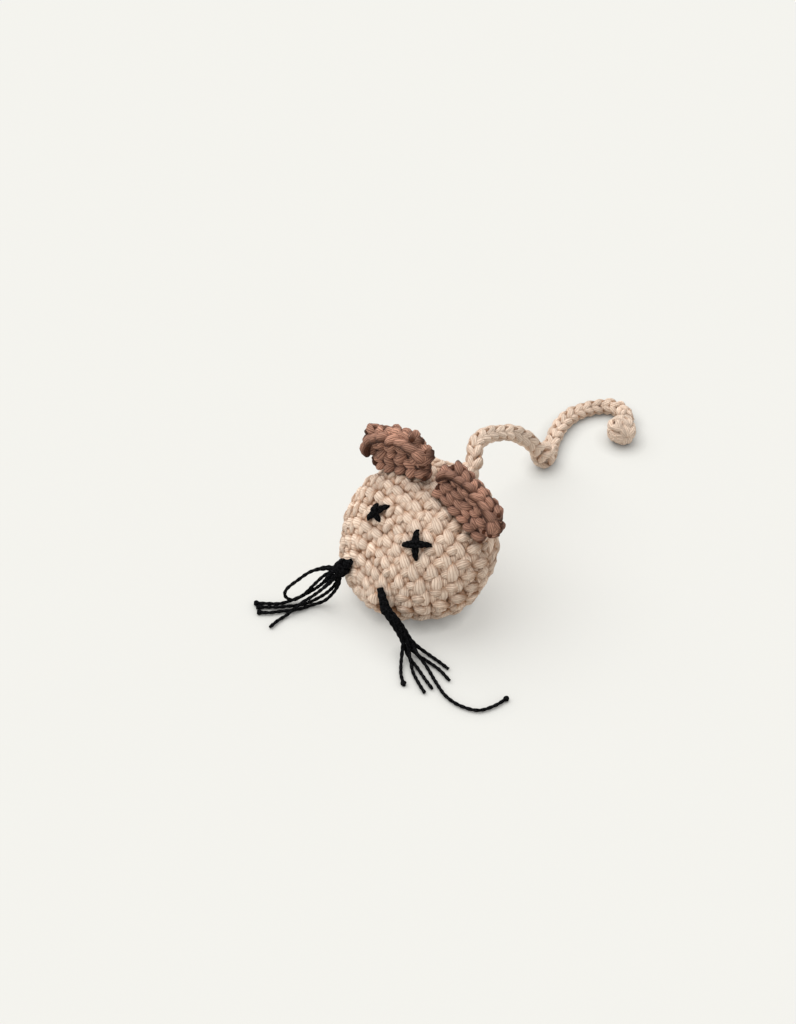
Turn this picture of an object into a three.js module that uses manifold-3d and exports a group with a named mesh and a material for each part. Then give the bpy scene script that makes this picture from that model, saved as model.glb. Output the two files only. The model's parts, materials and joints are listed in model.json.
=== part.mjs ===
// A crocheted catnip mouse: a stuffed cotton cover with sewn ears, thread eyes,
// knotted thread whiskers and a corded tail. The nose points to -Y and Z is up from the floor.
import * as THREE from "three";
import Module from "manifold-3d";

const wasm = await Module();
wasm.setup();

// Driving sizes in millimetres and degrees
// Body cover
const bodyLength = 51.2;
const bodyWidth = 59.5;
const bodyHeight = 45;
const noseHeight = 13;
const rumpHeight = 33;
const widestHeight = 21.3;
const crownSetback = 27.5;
const bellyRoundFront = 29;
const bellyRoundRear = 22.3;
const foreheadPower = 1.42;
const cheekPower = 1.82;
const rumpPower = 1.87;
const backPower = 2.6;
const underPower = 2.16;
const upperPower = 2.26;
const creaseSetback = 30;
const creaseDepth = 1.6;
const creaseSpread = 5;
const coverRounds = 14;
const roundDepth = 1.3;
const roundLead = 0.1;
const coverWall = 4.2;
const underFlat = 0.5;
const closingHole = 3;
const closingYarnThick = 1.2;
// Filling
const sachetLength = 20;
const sachetDiameter = 17;
const sachetWall = 0.8;
const sachetSetback = 24.5;
const sachetHeight = 21;
const sachetMouth = 6;
const sachetNeck = 5;
const tieThick = 1.2;
// Ears
const earWidth = 31;
const earThick = 6.2;
const earCup = 2.5;
const earEdge = 0.55;
const earSetback = 29.9;
const leftEarRound = 16.2;
const leftEarRise = 7;
const leftEarAngle = 59.6;
const leftEarLeanBack = 28.8;
const leftEarLeanOut = -6.7;
const leftEarYaw = -0.8;
const rightEarRound = 18.8;
const rightEarRise = 8.1;
const rightEarAngle = 70;
const rightEarLeanBack = -0.8;
const rightEarLeanOut = 4.7;
const rightEarYaw = 9.2;
const seamYarnThick = 1.2;
const seamSpan = 20;
const earSwingGap = 0.75;
// Eyes
const eyeSetback = 14.8;
const leftEyeAngle = 64.8;
const rightEyeAngle = 75.6;
const eyeThread = 1.8;
const eyeStitchLength = 9;
const eyeHop = 2.5;
// Whiskers
const whiskerSetback = 2.8;
const leftWhiskerAngle = 37;
const rightWhiskerAngle = 45;
const whiskerThread = 1.3;
const knotDiameter = 5;
const knotLength = 4;
const knotTop = 4.3;
const knotStandOff = 1.2;
const bundleRing = 1.75;
const whiskerSwingGap = 0.85;
// Tail
const tailInset = 0.9;
const tailLift = 0.35;
const tailLead = 3;
const tailAngle = 102;
const tailThick = 4.7;
const tailSeamThick = 1.4;
const tailSeamWidth = 3.4;
const tailSwingGap = 0.6;
const bobbleDiameter = 9.6;
// Fit between pieces that touch
const seatGap = 0.3;

// Hand-chosen route points, each X, Y and height above the floor.
const tailRoute = [
  [-4.0, 29.2, 41.6],
  [-6.8, 32.0, 42.2],
  [-9.7, 38.3, 40.2],
  [-12.2, 46.2, 35.9],
  [-14.2, 55.2, 29.8],
  [-15.7, 63.4, 21.9],
  [-16.9, 70.4, 12.9],
  [-18.2, 75.6, 5.2],
  [-20.8, 80.6, 2.7],
  [-24.3, 86.1, 2.6],
  [-27.9, 92.9, 2.6],
  [-29.6, 99.4, 2.6],
  [-29.2, 105.2, 2.6],
  [-27.2, 110.6, 2.6],
  [-23.4, 114.7, 2.6],
  [-18.4, 115.4, 2.8],
  [-14.4, 112.8, 3.6],
];
const bobblePlace = [-10.4, 106.4];
const leftExit = new THREE.Vector3(0.74, -0.3, -0.6).normalize();
const rightExit = new THREE.Vector3(-0.5, -0.46, -0.73).normalize();
const leftBundle = [
  [16.4, -24.6, 13.2],
  [20.2, -23.3, 7.5],
];
const leftRoutes = [
  [[22.4, -26.4, 2.6], [25.2, -29.0, 0.95], [28.6, -31.8, 0.95], [32.6, -34.0, 0.95]],
  [[25.6, -25.4, 3.0], [29.6, -27.6, 0.95], [34.8, -29.7, 0.95], [39.6, -31.2, 0.95]],
  [[23.4, -24.2, 1.2], [29.4, -25.4, 0.95], [34.8, -26.9, 0.95], [39.8, -28.1, 0.95]],
  [[26.4, -22.9, 4.0], [31.6, -22.9, 0.95], [38.4, -25.2, 0.95], [45.4, -27.0, 0.95],
    [51.8, -26.4, 0.95], [57.3, -23.3, 0.95], [59.2, -17.8, 0.95], [59.3, -12.1, 0.95]],
  [[23.8, -21.4, 1.2], [29.2, -20.8, 0.95], [34.8, -20.5, 0.95], [40.7, -21.3, 0.95]],
  [[22.8, -19.9, 3.2], [26.8, -18.4, 0.95], [32.0, -18.1, 0.95], [36.4, -18.0, 0.95]],
];
const rightRoutes = [
  [[-14.0, -29.0, 11.5], [-17.9, -30.3, 6.0], [-20.9, -33.2, 2.6], [-23.3, -37.8, 0.95],
    [-24.4, -40.4, 0.95], [-27.1, -43.4, 0.95], [-30.2, -46.6, 0.95]],
  [[-10.5, -26.2, 10.4], [-12.2, -27.0, 6.0], [-14.2, -29.2, 2.5], [-16.7, -32.8, 0.95],
    [-17.5, -36.0, 0.95], [-19.2, -39.4, 0.95], [-21.3, -42.6, 0.95], [-23.2, -45.7, 0.95],
    [-26.1, -48.6, 0.95]],
  [[-12.3, -29.8, 11.2], [-14.9, -32.9, 7.0], [-17.3, -36.8, 3.8], [-18.4, -42.3, 0.95],
    [-18.3, -45.9, 0.95], [-17.6, -49.9, 0.95]],
  [[-11.9, -25.4, 10.4], [-13.9, -26.9, 6.2], [-16.4, -29.0, 2.7], [-18.4, -33.1, 0.95],
    [-19.6, -36.0, 0.95], [-21.4, -38.9, 0.95], [-23.1, -41.4, 0.95], [-25.5, -44.3, 0.95],
    [-28.2, -47.3, 0.95]],
];
const loopRoute = [
  [-15.3, -27.4, 15.9], [-19.0, -30.7, 13.6], [-20.8, -34.8, 11.0], [-22.1, -38.6, 8.4],
  [-22.4, -39.4, 6.4], [-22.2, -39.0, 4.6], [-21.5, -37.7, 3.2], [-20.6, -35.9, 3.0],
  [-19.3, -33.2, 4.8], [-17.6, -31.0, 8.3], [-15.9, -27.4, 12.0],
];

// Facets
const bodyRings = 24;
const bodySides = 32;
const roundRings = 4;
const coverSides = 48;
const earRings = 12;
const earSides = 32;
const rodSides = 20;
const sachetRings = 12;
const cordSides = 10;
const threadSides = 8;
const seatSteps = 8;
const searchSteps = 40;
const seamSteps = 16;
const stitchSteps = 14;
const cordStep = 0.6;
const threadStep = 2.2;

const degree = Math.PI / 180;
const noseY = -bodyLength / 2;

function cloth(colour, roughness) {
  return new THREE.MeshStandardMaterial({ color: colour, roughness, metalness: 0 });
}
const creamCotton = cloth(0xe8d3bd, 0.95);
const taupeCotton = cloth(0x86685a, 0.95);
const blackThread = cloth(0x121214, 0.9);
const whiteFibre = cloth(0xf2efe8, 1);
const muslin = cloth(0xddd2bd, 0.95);
const driedHerb = cloth(0x77804c, 1);

// Solids and their meshes
function solidOf(source) {
  const places = source.getAttribute("position");
  const order = source.index ? Array.from(source.index.array) : [...Array(places.count).keys()];
  const seen = new Map();
  const points = [];
  const corner = (i) => {
    const place = [places.getX(i), places.getY(i), places.getZ(i)];
    const key = place.map((v) => Math.round(v * 1e4)).join();
    if (!seen.has(key)) {
      seen.set(key, points.length / 3);
      points.push(...place);
    }
    return seen.get(key);
  };
  const faces = [];
  for (let i = 0; i < order.length; i += 3) {
    const [a, b, c] = [corner(order[i]), corner(order[i + 1]), corner(order[i + 2])];
    if (a !== b && b !== c && c !== a) faces.push(a, b, c);
  }
  return new wasm.Manifold(new wasm.Mesh({
    numProp: 3,
    vertProperties: new Float32Array(points),
    triVerts: new Uint32Array(faces),
  }));
}

function geometryOf(solid) {
  const mesh = solid.getMesh();
  const geometry = new THREE.BufferGeometry();
  const places = new Float32Array(mesh.vertProperties);
  geometry.setAttribute("position", new THREE.BufferAttribute(places, 3));
  geometry.setIndex(Array.from(mesh.triVerts));
  geometry.computeVertexNormals();
  return geometry;
}

function meshOf(name, shape, material) {
  const geometry = shape.isBufferGeometry ? shape : geometryOf(shape);
  const mesh = new THREE.Mesh(geometry, material);
  mesh.name = name;
  return mesh;
}

// Closed skin over rings of points between two poles.
function closedRings(rings, firstPole, lastPole) {
  const points = [firstPole, ...rings.flat(), lastPole];
  const sides = rings[0].length;
  const at = (ring, side) => 1 + ring * sides + (side % sides);
  const faces = [];
  for (let side = 0; side < sides; side += 1) {
    faces.push(0, at(0, side), at(0, side + 1));
    for (let ring = 0; ring < rings.length - 1; ring += 1) {
      faces.push(at(ring, side), at(ring + 1, side), at(ring + 1, side + 1));
      faces.push(at(ring, side), at(ring + 1, side + 1), at(ring, side + 1));
    }
    faces.push(points.length - 1, at(rings.length - 1, side + 1), at(rings.length - 1, side));
  }
  const geometry = new THREE.BufferGeometry();
  const places = points.flatMap((p) => p.toArray());
  geometry.setAttribute("position", new THREE.Float32BufferAttribute(places, 3));
  geometry.setIndex(faces);
  return geometry;
}

function tube(curve, diameter, sides, steps) {
  const shape = new THREE.Shape();
  for (let side = 0; side < sides; side += 1) {
    const turn = (side / sides) * 2 * Math.PI;
    const x = (diameter / 2) * Math.cos(turn);
    const y = (diameter / 2) * Math.sin(turn);
    if (side === 0) shape.moveTo(x, y);
    else shape.lineTo(x, y);
  }
  shape.closePath();
  return new THREE.ExtrudeGeometry(shape, { steps, extrudePath: curve, bevelEnabled: false });
}

function smoothCurve(points) {
  return new THREE.CatmullRomCurve3(points, false, "centripetal");
}

function lathe(profile, sides) {
  return new THREE.LatheGeometry(profile.map(([r, h]) => new THREE.Vector2(r, h)), sides);
}

// Body form: one round at each station along Y, grown outwards by any amount.
function bodyRound(y, grow) {
  const nose = noseY - grow;
  const rump = bodyLength / 2 + grow;
  const crown = noseY + crownSetback;
  const ahead = y < crown;
  const reach = Math.min(1, ahead ? (crown - y) / (crown - nose) : (y - crown) / (rump - crown));
  const pole = ahead ? noseHeight : rumpHeight;
  const swell = (power) => Math.pow(Math.max(0, 1 - Math.pow(reach, power)), 1 / power);
  const belly = ahead ? nose + bellyRoundFront : rump - bellyRoundRear;
  const bellyRound = ahead ? bellyRoundFront : bellyRoundRear;
  const lift = Math.min(1, Math.max(0, (ahead ? belly - y : y - belly) / bellyRound));
  return {
    halfWidth: (bodyWidth / 2 + grow) * swell(ahead ? cheekPower : rumpPower),
    top: pole + (bodyHeight + grow - pole) * swell(ahead ? foreheadPower : backPower),
    bottom: pole - (pole + underFlat + grow) * Math.sqrt(1 - lift * lift),
    middle: pole + (widestHeight - pole) * (1 - reach),
  };
}

// The sewn ears pull the flanks in along one round.
function creaseAt(y, across) {
  const away = (y - noseY - creaseSetback) / creaseSpread;
  return 1 - ((2 * creaseDepth) / bodyWidth) * Math.exp(-away * away) * across * across;
}

function bodyPoint(y, turn, grow) {
  const round = bodyRound(y, grow);
  const c = Math.cos(turn);
  const s = Math.sin(turn);
  const power = 2 / (s < 0 ? underPower : upperPower);
  const bend = (v) => Math.sign(v) * Math.pow(Math.abs(v), power);
  const pull = creaseAt(y, c);
  const rise = s < 0 ? round.middle - round.bottom : round.top - round.middle;
  return new THREE.Vector3(round.halfWidth * bend(c) * pull, y, round.middle + rise * bend(s) * pull);
}

// One line of the body from the nose to the rump.
function bodyLine(turn, grow) {
  const span = bodyLength + 2 * grow;
  const points = [];
  for (let ring = 0; ring <= bodyRings; ring += 1) {
    const y = noseY - grow + (span * (1 - Math.cos((Math.PI * ring) / bodyRings))) / 2;
    points.push(bodyPoint(y, turn, grow));
  }
  return points;
}

// A closed body over such lines, each with the same count of points.
function closedBody(lines) {
  const last = lines[0].length - 1;
  const rings = [];
  for (let ring = 1; ring < last; ring += 1) rings.push(lines.map((line) => line[ring]));
  return solidOf(closedRings(rings, lines[0][0], lines[0][last]));
}

function turnsOf(sides) {
  return Array.from({ length: sides }, (unused, side) => side / sides);
}

function bodySolid(grow) {
  return closedBody(turnsOf(bodySides).map((turn) => bodyLine(turn * 2 * Math.PI, grow)));
}

// The rounds of stitches climb from the nose to the rump as one spiral of low ridges.
function crochetedBody() {
  const heart = new THREE.Vector3(0, 0, (noseHeight + rumpHeight) / 2);
  const rings = coverRounds * roundRings;
  const lines = turnsOf(coverSides).map((turn) => {
    const line = smoothCurve(bodyLine(turn * 2 * Math.PI, 0)).getSpacedPoints(rings);
    line.forEach((point, ring) => {
      const climb = ring / roundRings;
      const valley = (1 - Math.cos((climb - turn + roundLead) * 2 * Math.PI)) / 2;
      const ends = Math.min(1, climb, coverRounds - climb);
      const inward = heart.clone().sub(point).normalize();
      point.addScaledVector(inward, roundDepth * valley * ends);
    });
    return line;
  });
  return closedBody(lines);
}

function flatBelow(solid, height) {
  const floor = new THREE.BoxGeometry(4 * bodyWidth, 4 * bodyLength, bodyHeight);
  floor.translate(0, 0, height - bodyHeight / 2);
  return solid.subtract(solidOf(floor));
}

// How far outside the grown body a point is, as a share of the body's size there.
function outside(point, grow) {
  const round = bodyRound(point.y, grow);
  if (round.halfWidth < 1e-6) return 1;
  const above = point.z > round.middle;
  const rise = above ? round.top - round.middle : round.middle - round.bottom;
  const across = Math.abs(point.x) / round.halfWidth;
  const up = Math.abs(point.z - round.middle) / Math.max(rise, 1e-6);
  const power = above ? upperPower : underPower;
  const level = Math.pow(Math.pow(across, power) + Math.pow(up, power), 1 / power);
  return level - creaseAt(point.y, across / Math.max(Math.hypot(across, up), 1e-6));
}

// Where a line from a point, going against a direction, meets the grown body.
function dropOnto(point, direction, grow) {
  const reach = bodyHeight / 2;
  let far = 0;
  let near = reach;
  for (let step = 0; step < searchSteps; step += 1) {
    const half = (far + near) / 2;
    const probe = point.clone().addScaledVector(direction, -half);
    if (outside(probe, grow) > 0) far = half;
    else near = half;
  }
  return point.clone().addScaledVector(direction, -near);
}

// A seat on the cover: distance back from the nose and angle up around the round.
function seatAt(setback, angle) {
  const y = noseY + setback;
  const turn = angle * degree;
  const small = 0.05;
  const place = bodyPoint(y, turn, 0);
  const around = bodyPoint(y, turn - small, 0).sub(bodyPoint(y, turn + small, 0)).normalize();
  const back = bodyPoint(y + small, turn, 0).sub(bodyPoint(y - small, turn, 0)).normalize();
  const normal = new THREE.Vector3().crossVectors(around, back).normalize();
  back.crossVectors(normal, around).normalize();
  return { place, around, back, normal };
}

// Cover and filling
const closingSeat = new THREE.Vector3(0, bodyLength / 2, rumpHeight);
const hole = new THREE.CylinderGeometry(closingHole / 2, closingHole / 2, 6 * coverWall, rodSides);
hole.translate(closingSeat.x, closingSeat.y, closingSeat.z);
const coverInside = flatBelow(bodySolid(-coverWall), coverWall);
const cover = flatBelow(crochetedBody(), 0).subtract(coverInside).subtract(solidOf(hole));

const channelRadius = sachetMouth / 2 + tieThick + 2 * seatGap;
const channel = new THREE.CylinderGeometry(channelRadius, channelRadius, bodyLength, rodSides);
const sachetPlace = new THREE.Vector3(0, noseY + sachetSetback, sachetHeight);
function sachetForm(grow) {
  const half = sachetLength / 2 + grow;
  const radius = sachetDiameter / 2 + grow;
  const profile = [];
  for (let step = 0; step <= sachetRings; step += 1) {
    const turn = -Math.PI / 2 + (Math.PI * step) / sachetRings;
    const pole = step % sachetRings === 0;
    profile.push([pole ? 0 : radius * Math.cos(turn), half * Math.sin(turn)]);
  }
  const form = lathe(profile, rodSides);
  form.translate(sachetPlace.x, sachetPlace.y, sachetPlace.z);
  return solidOf(form);
}
const neckTop = sachetPlace.y + sachetLength / 2 + sachetNeck;
function neckRod(diameter, from, to) {
  const rod = new THREE.CylinderGeometry(diameter / 2, diameter / 2, to - from, rodSides);
  rod.translate(sachetPlace.x, (from + to) / 2, sachetPlace.z);
  return solidOf(rod);
}
const sachetOuter = sachetForm(0).add(neckRod(sachetMouth, sachetPlace.y, neckTop));
const herbRoom = sachetForm(-sachetWall);
const mouthBore = sachetMouth - 2 * sachetWall;
const sachet = sachetOuter.subtract(herbRoom).subtract(neckRod(mouthBore, sachetPlace.y, neckTop + 1));
const herb = sachetForm(-sachetWall - seatGap);
const tieY = sachetPlace.y + sachetLength / 2 + sachetNeck / 2;
const tieRing = sachetMouth / 2 + seatGap + tieThick / 2;
const tie = new THREE.TorusGeometry(tieRing, tieThick / 2, cordSides, rodSides);

const stuffingRoom = sachetForm(seatGap);
channel.translate(sachetPlace.x, sachetPlace.y + bodyLength / 2, sachetPlace.z);
const stuffing = flatBelow(bodySolid(-coverWall - seatGap), coverWall + seatGap)
  .subtract(stuffingRoom)
  .subtract(solidOf(channel));

const closingYarn = new THREE.TorusGeometry(
  closingHole / 2 + closingYarnThick / 2,
  closingYarnThick / 2,
  cordSides,
  rodSides,
);

// Ears: dished ovals whose lower edge is cut to the head, clear of the sewing yarn.
const earStandOff = seatGap + seamYarnThick + earSwingGap;
const earCutter = bodySolid(earStandOff);

function earFrame(side, angle, leanBack, leanOut, yaw, rise, round) {
  const seat = seatAt(earSetback, side > 0 ? angle : 180 - angle);
  const outward = seat.around.clone().multiplyScalar(side);
  const up = seat.normal
    .clone()
    .addScaledVector(seat.back, Math.tan(leanBack * degree))
    .addScaledVector(outward, Math.tan(leanOut * degree))
    .normalize();
  const along = seat.around.clone().addScaledVector(seat.back, Math.tan(yaw * degree));
  along.addScaledVector(up, -along.dot(up)).normalize();
  const behind = new THREE.Vector3().crossVectors(up, along);
  return { foot: seat.place, along, behind, up, rise, round };
}

function earSolid(frame) {
  const rings = [];
  const rim = (turn, depth) => {
    const reach = Math.pow(Math.cos(depth), earEdge);
    const x = (earWidth / 2) * Math.cos(turn) * reach;
    const z = (frame.round / 2) * Math.sin(turn) * reach;
    const bowl = earCup * (1 - reach * reach);
    const y = (earThick / 2) * Math.sin(depth) + bowl - earCup / 2;
    return new THREE.Vector3(x, y, z + frame.rise);
  };
  for (let ring = 1; ring < earRings; ring += 1) {
    const points = [];
    for (let side = 0; side < earSides; side += 1) {
      points.push(rim((side / earSides) * 2 * Math.PI, -Math.PI / 2 + (Math.PI * ring) / earRings));
    }
    rings.push(points);
  }
  const pad = closedRings(rings, rim(0, -Math.PI / 2), rim(0, Math.PI / 2));
  const place = new THREE.Matrix4().makeBasis(frame.along, frame.behind, frame.up);
  place.setPosition(frame.foot);
  pad.applyMatrix4(place);
  return solidOf(pad).subtract(earCutter);
}

function earSeam(frame) {
  const points = [];
  for (let step = 0; step <= seatSteps; step += 1) {
    const start = frame.foot.clone();
    start.addScaledVector(frame.along, (step / seatSteps - 0.5) * seamSpan);
    start.addScaledVector(frame.up, frame.round / 2);
    points.push(dropOnto(start, frame.up, seatGap + seamYarnThick / 2));
  }
  return tube(smoothCurve(points), seamYarnThick, threadSides, seamSteps);
}

const leftEarFrame = earFrame(
  1,
  leftEarAngle,
  leftEarLeanBack,
  leftEarLeanOut,
  leftEarYaw,
  leftEarRise,
  leftEarRound,
);
const rightEarFrame = earFrame(
  -1,
  rightEarAngle,
  rightEarLeanBack,
  rightEarLeanOut,
  rightEarYaw,
  rightEarRise,
  rightEarRound,
);

// Eyes: two crossing stitches, one passing over the other.
function eyeStitch(side, over) {
  const seat = seatAt(eyeSetback, side > 0 ? leftEyeAngle : 180 - rightEyeAngle);
  const slant = over ? -1 : 1;
  const run = seat.around.clone().multiplyScalar(side).addScaledVector(seat.back, -slant).normalize();
  const points = [];
  for (let step = 0; step <= seatSteps; step += 1) {
    const away = (step / seatSteps - 0.5) * (eyeStitchLength - eyeThread);
    const start = seat.place.clone().addScaledVector(run, away);
    start.addScaledVector(seat.normal, eyeStitchLength);
    const point = dropOnto(start, seat.normal, seatGap + eyeThread / 2);
    const hop = Math.exp(-Math.pow(away / eyeHop, 2));
    if (over) point.addScaledVector(seat.normal, (eyeThread + seatGap) * hop);
    points.push(point);
  }
  return tube(smoothCurve(points), eyeThread, threadSides, stitchSteps);
}

// Whiskers: a wrapped knot on each cheek, and threads that leave its flat end.
const knotCutter = bodySolid(seatGap);

function knotSeat(side) {
  const seat = seatAt(whiskerSetback, side > 0 ? leftWhiskerAngle : 180 - rightWhiskerAngle);
  return seat.place.addScaledVector(seat.normal, knotStandOff);
}

function knotSolid(side, exit) {
  const r = knotDiameter / 2;
  const top = knotTop / 2;
  const shoulder = knotLength / 2;
  const profile = [[0, -r], [top, -r], [r, 0], [r, shoulder], [top, knotLength], [0, knotLength]];
  const barrel = lathe(profile, rodSides);
  const turn = new THREE.Quaternion().setFromUnitVectors(new THREE.Vector3(0, 1, 0), exit);
  barrel.applyQuaternion(turn);
  const seat = knotSeat(side);
  barrel.translate(seat.x, seat.y, seat.z);
  return solidOf(barrel).subtract(knotCutter);
}

// A place on the ring of threads around a bundle's middle line.
function onBundle(middle, direction, angle) {
  const level = new THREE.Vector3().crossVectors(direction, new THREE.Vector3(0, 0, 1)).normalize();
  const up = new THREE.Vector3().crossVectors(level, direction).normalize();
  return middle
    .clone()
    .addScaledVector(level, bundleRing * Math.cos(angle * degree))
    .addScaledVector(up, bundleRing * Math.sin(angle * degree));
}

function exitPlace(side, exit, angle) {
  const middle = knotSeat(side).addScaledVector(exit, knotLength + whiskerSwingGap);
  return onBundle(middle, exit, angle);
}

function toPoints(route) {
  return route.map(([x, y, z]) => new THREE.Vector3(x, y, z));
}

function strand(points) {
  const curve = smoothCurve(points);
  const steps = Math.ceil(curve.getLength() / (threadStep * whiskerThread));
  return tube(curve, whiskerThread, threadSides, steps);
}

// The six threads on the left hang together in a slowly turning bundle before they part.
const leftOrder = [0, 60, 300, 120, 240, 180];
function leftStrand(index) {
  const angle = leftOrder[index];
  const points = [exitPlace(1, leftExit, angle)];
  const middles = toPoints(leftBundle);
  const fall = middles[1].clone().sub(middles[0]).normalize();
  middles.forEach((middle) => points.push(onBundle(middle, fall, angle)));
  return strand([...points, ...toPoints(leftRoutes[index])]);
}

const rightOrder = [120, 240, 180, 300];
function rightStrand(index) {
  return strand([exitPlace(-1, rightExit, rightOrder[index]), ...toPoints(rightRoutes[index])]);
}

const loopOut = 60;
const loopHome = 0;
function rightLoop() {
  const out = exitPlace(-1, rightExit, loopOut);
  const home = exitPlace(-1, rightExit, loopHome);
  return strand([out, ...toPoints(loopRoute), home]);
}

// Tail
const tailSeat = seatAt(bodyLength - tailInset, tailAngle);
const tailExit = tailSeat.normal.clone().add(new THREE.Vector3(0, 0, tailLift)).normalize();
const tailStandOff = seatGap + tailSeamThick + tailSwingGap;
const bobble = new THREE.Vector3(bobblePlace[0], bobblePlace[1], bobbleDiameter / 2);
const tailPoints = [
  tailSeat.place.clone().addScaledVector(tailExit, -tailStandOff),
  tailSeat.place.clone().addScaledVector(tailExit, tailLead),
  ...toPoints(tailRoute),
];
const lastPoint = tailPoints[tailPoints.length - 1];
const tailEnd = lastPoint.clone().sub(bobble).setLength(bobbleDiameter / 2 + seatGap).add(bobble);
tailPoints.push(tailEnd);
const tailCurve = smoothCurve(tailPoints);
const tailSteps = Math.ceil(tailCurve.getLength() / (cordStep * tailThick));
const tailRope = solidOf(tube(tailCurve, tailThick, cordSides, tailSteps));
const tailTube = tailRope.subtract(bodySolid(tailStandOff));
const tailSeamRing = (tailSeamWidth - tailSeamThick) / 2;
const tailSeam = new THREE.TorusGeometry(tailSeamRing, tailSeamThick / 2, cordSides, rodSides);

// Assembly
const mouse = new THREE.Group();
mouse.name = "catnip_mouse";

const trunk = new THREE.Group();
trunk.name = "trunk";
const tieMesh = meshOf("sachet_tie", tie, blackThread);
tieMesh.rotation.x = Math.PI / 2;
tieMesh.position.set(sachetPlace.x, tieY, sachetPlace.z);
const closingMesh = meshOf("closing_yarn", closingYarn, creamCotton);
closingMesh.rotation.x = Math.PI / 2;
closingMesh.position.copy(closingSeat).add(new THREE.Vector3(0, closingYarnThick / 2 + seatGap, 0));
const tailSeamMesh = meshOf("tail_seam", tailSeam, creamCotton);
tailSeamMesh.quaternion.setFromUnitVectors(new THREE.Vector3(0, 0, 1), tailSeat.normal);
tailSeamMesh.position.copy(tailSeat.place);
tailSeamMesh.position.addScaledVector(tailSeat.normal, seatGap + tailSeamThick / 2);
trunk.add(
  meshOf("body_cover", cover, creamCotton),
  meshOf("fibre_stuffing", stuffing, whiteFibre),
  meshOf("catnip_sachet", sachet, muslin),
  meshOf("catnip_herb", herb, driedHerb),
  tieMesh,
  closingMesh,
  meshOf("left_ear_seam", earSeam(leftEarFrame), taupeCotton),
  meshOf("right_ear_seam", earSeam(rightEarFrame), taupeCotton),
  meshOf("left_eye_under_stitch", eyeStitch(1, false), blackThread),
  meshOf("left_eye_over_stitch", eyeStitch(1, true), blackThread),
  meshOf("right_eye_under_stitch", eyeStitch(-1, false), blackThread),
  meshOf("right_eye_over_stitch", eyeStitch(-1, true), blackThread),
  tailSeamMesh,
  meshOf("left_whisker_knot", knotSolid(1, leftExit), blackThread),
  meshOf("right_whisker_knot", knotSolid(-1, rightExit), blackThread),
);

const leftWhiskers = new THREE.Group();
leftWhiskers.name = "left_whiskers";
leftRoutes.forEach((route, index) => {
  leftWhiskers.add(meshOf("left_whisker_" + (index + 1), leftStrand(index), blackThread));
});

const rightWhiskers = new THREE.Group();
rightWhiskers.name = "right_whiskers";
rightRoutes.forEach((route, index) => {
  rightWhiskers.add(meshOf("right_whisker_" + (index + 1), rightStrand(index), blackThread));
});
rightWhiskers.add(meshOf("right_whisker_loop", rightLoop(), blackThread));

const tail = new THREE.Group();
tail.name = "tail";
const bobbleBall = new THREE.SphereGeometry(bobbleDiameter / 2, rodSides, sachetRings);
const bobbleMesh = meshOf("tail_tip_bobble", bobbleBall, creamCotton);
bobbleMesh.position.copy(bobble);
tail.add(meshOf("tail_cord", tailTube, creamCotton), bobbleMesh);

mouse.add(
  trunk,
  meshOf("left_ear", earSolid(leftEarFrame), taupeCotton),
  meshOf("right_ear", earSolid(rightEarFrame), taupeCotton),
  leftWhiskers,
  rightWhiskers,
  tail,
);

export default mouse;
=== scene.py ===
# Crocheted catnip mouse: yarn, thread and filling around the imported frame
import json
import math
import bpy
import bmesh
import numpy as np
from mathutils import Matrix, Vector
from mathutils.bvhtree import BVHTree

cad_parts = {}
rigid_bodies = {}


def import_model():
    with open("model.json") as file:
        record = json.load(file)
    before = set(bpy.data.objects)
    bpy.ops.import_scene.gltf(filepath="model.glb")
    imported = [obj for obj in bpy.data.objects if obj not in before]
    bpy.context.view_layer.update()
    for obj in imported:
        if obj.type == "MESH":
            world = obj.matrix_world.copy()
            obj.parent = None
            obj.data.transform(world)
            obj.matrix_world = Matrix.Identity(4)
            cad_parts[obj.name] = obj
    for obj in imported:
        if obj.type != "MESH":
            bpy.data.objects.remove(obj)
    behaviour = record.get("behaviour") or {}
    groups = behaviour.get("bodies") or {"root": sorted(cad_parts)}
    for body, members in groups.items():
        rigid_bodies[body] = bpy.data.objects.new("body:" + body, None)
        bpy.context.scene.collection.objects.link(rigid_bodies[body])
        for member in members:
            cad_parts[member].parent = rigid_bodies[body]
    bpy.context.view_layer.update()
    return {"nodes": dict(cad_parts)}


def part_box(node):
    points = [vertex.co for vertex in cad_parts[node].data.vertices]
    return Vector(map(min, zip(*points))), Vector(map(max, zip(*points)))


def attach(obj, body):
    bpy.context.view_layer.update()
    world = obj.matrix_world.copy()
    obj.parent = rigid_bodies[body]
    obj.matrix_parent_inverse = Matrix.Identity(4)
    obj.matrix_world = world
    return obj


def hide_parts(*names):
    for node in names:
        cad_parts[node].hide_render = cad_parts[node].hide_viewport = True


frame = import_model()
mm = 0.001
scene = bpy.context.scene
print("frame loaded:", len(frame["nodes"]), "nodes")

# Camera at the photograph's angle, on an image of 796 by 1024
cameraView = {
    "place": (599.55, -529.52, 755.56),  # mm
    "target": (-17.39, 6.78, 19.52),
    "lens": 113.74,
    "sensor": 36.0,
    "clip": (20, 20000),
}
cameraData = bpy.data.cameras.new("photoCamera")
cameraData.lens = cameraView["lens"]
cameraData.sensor_fit = "VERTICAL"
cameraData.sensor_height = cameraView["sensor"]
cameraData.clip_start, cameraData.clip_end = (edge * mm for edge in cameraView["clip"])
camera = bpy.data.objects.new("photoCamera", cameraData)
scene.collection.objects.link(camera)
cameraPlace = Vector(cameraView["place"]) * mm
cameraAim = Vector(cameraView["target"]) * mm - cameraPlace
cameraTurn = cameraAim.to_track_quat("-Z", "Y").to_matrix().to_4x4()
camera.matrix_world = Matrix.Translation(cameraPlace) @ cameraTurn
scene.camera = camera
scene.view_settings.view_transform = "Standard"


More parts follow.
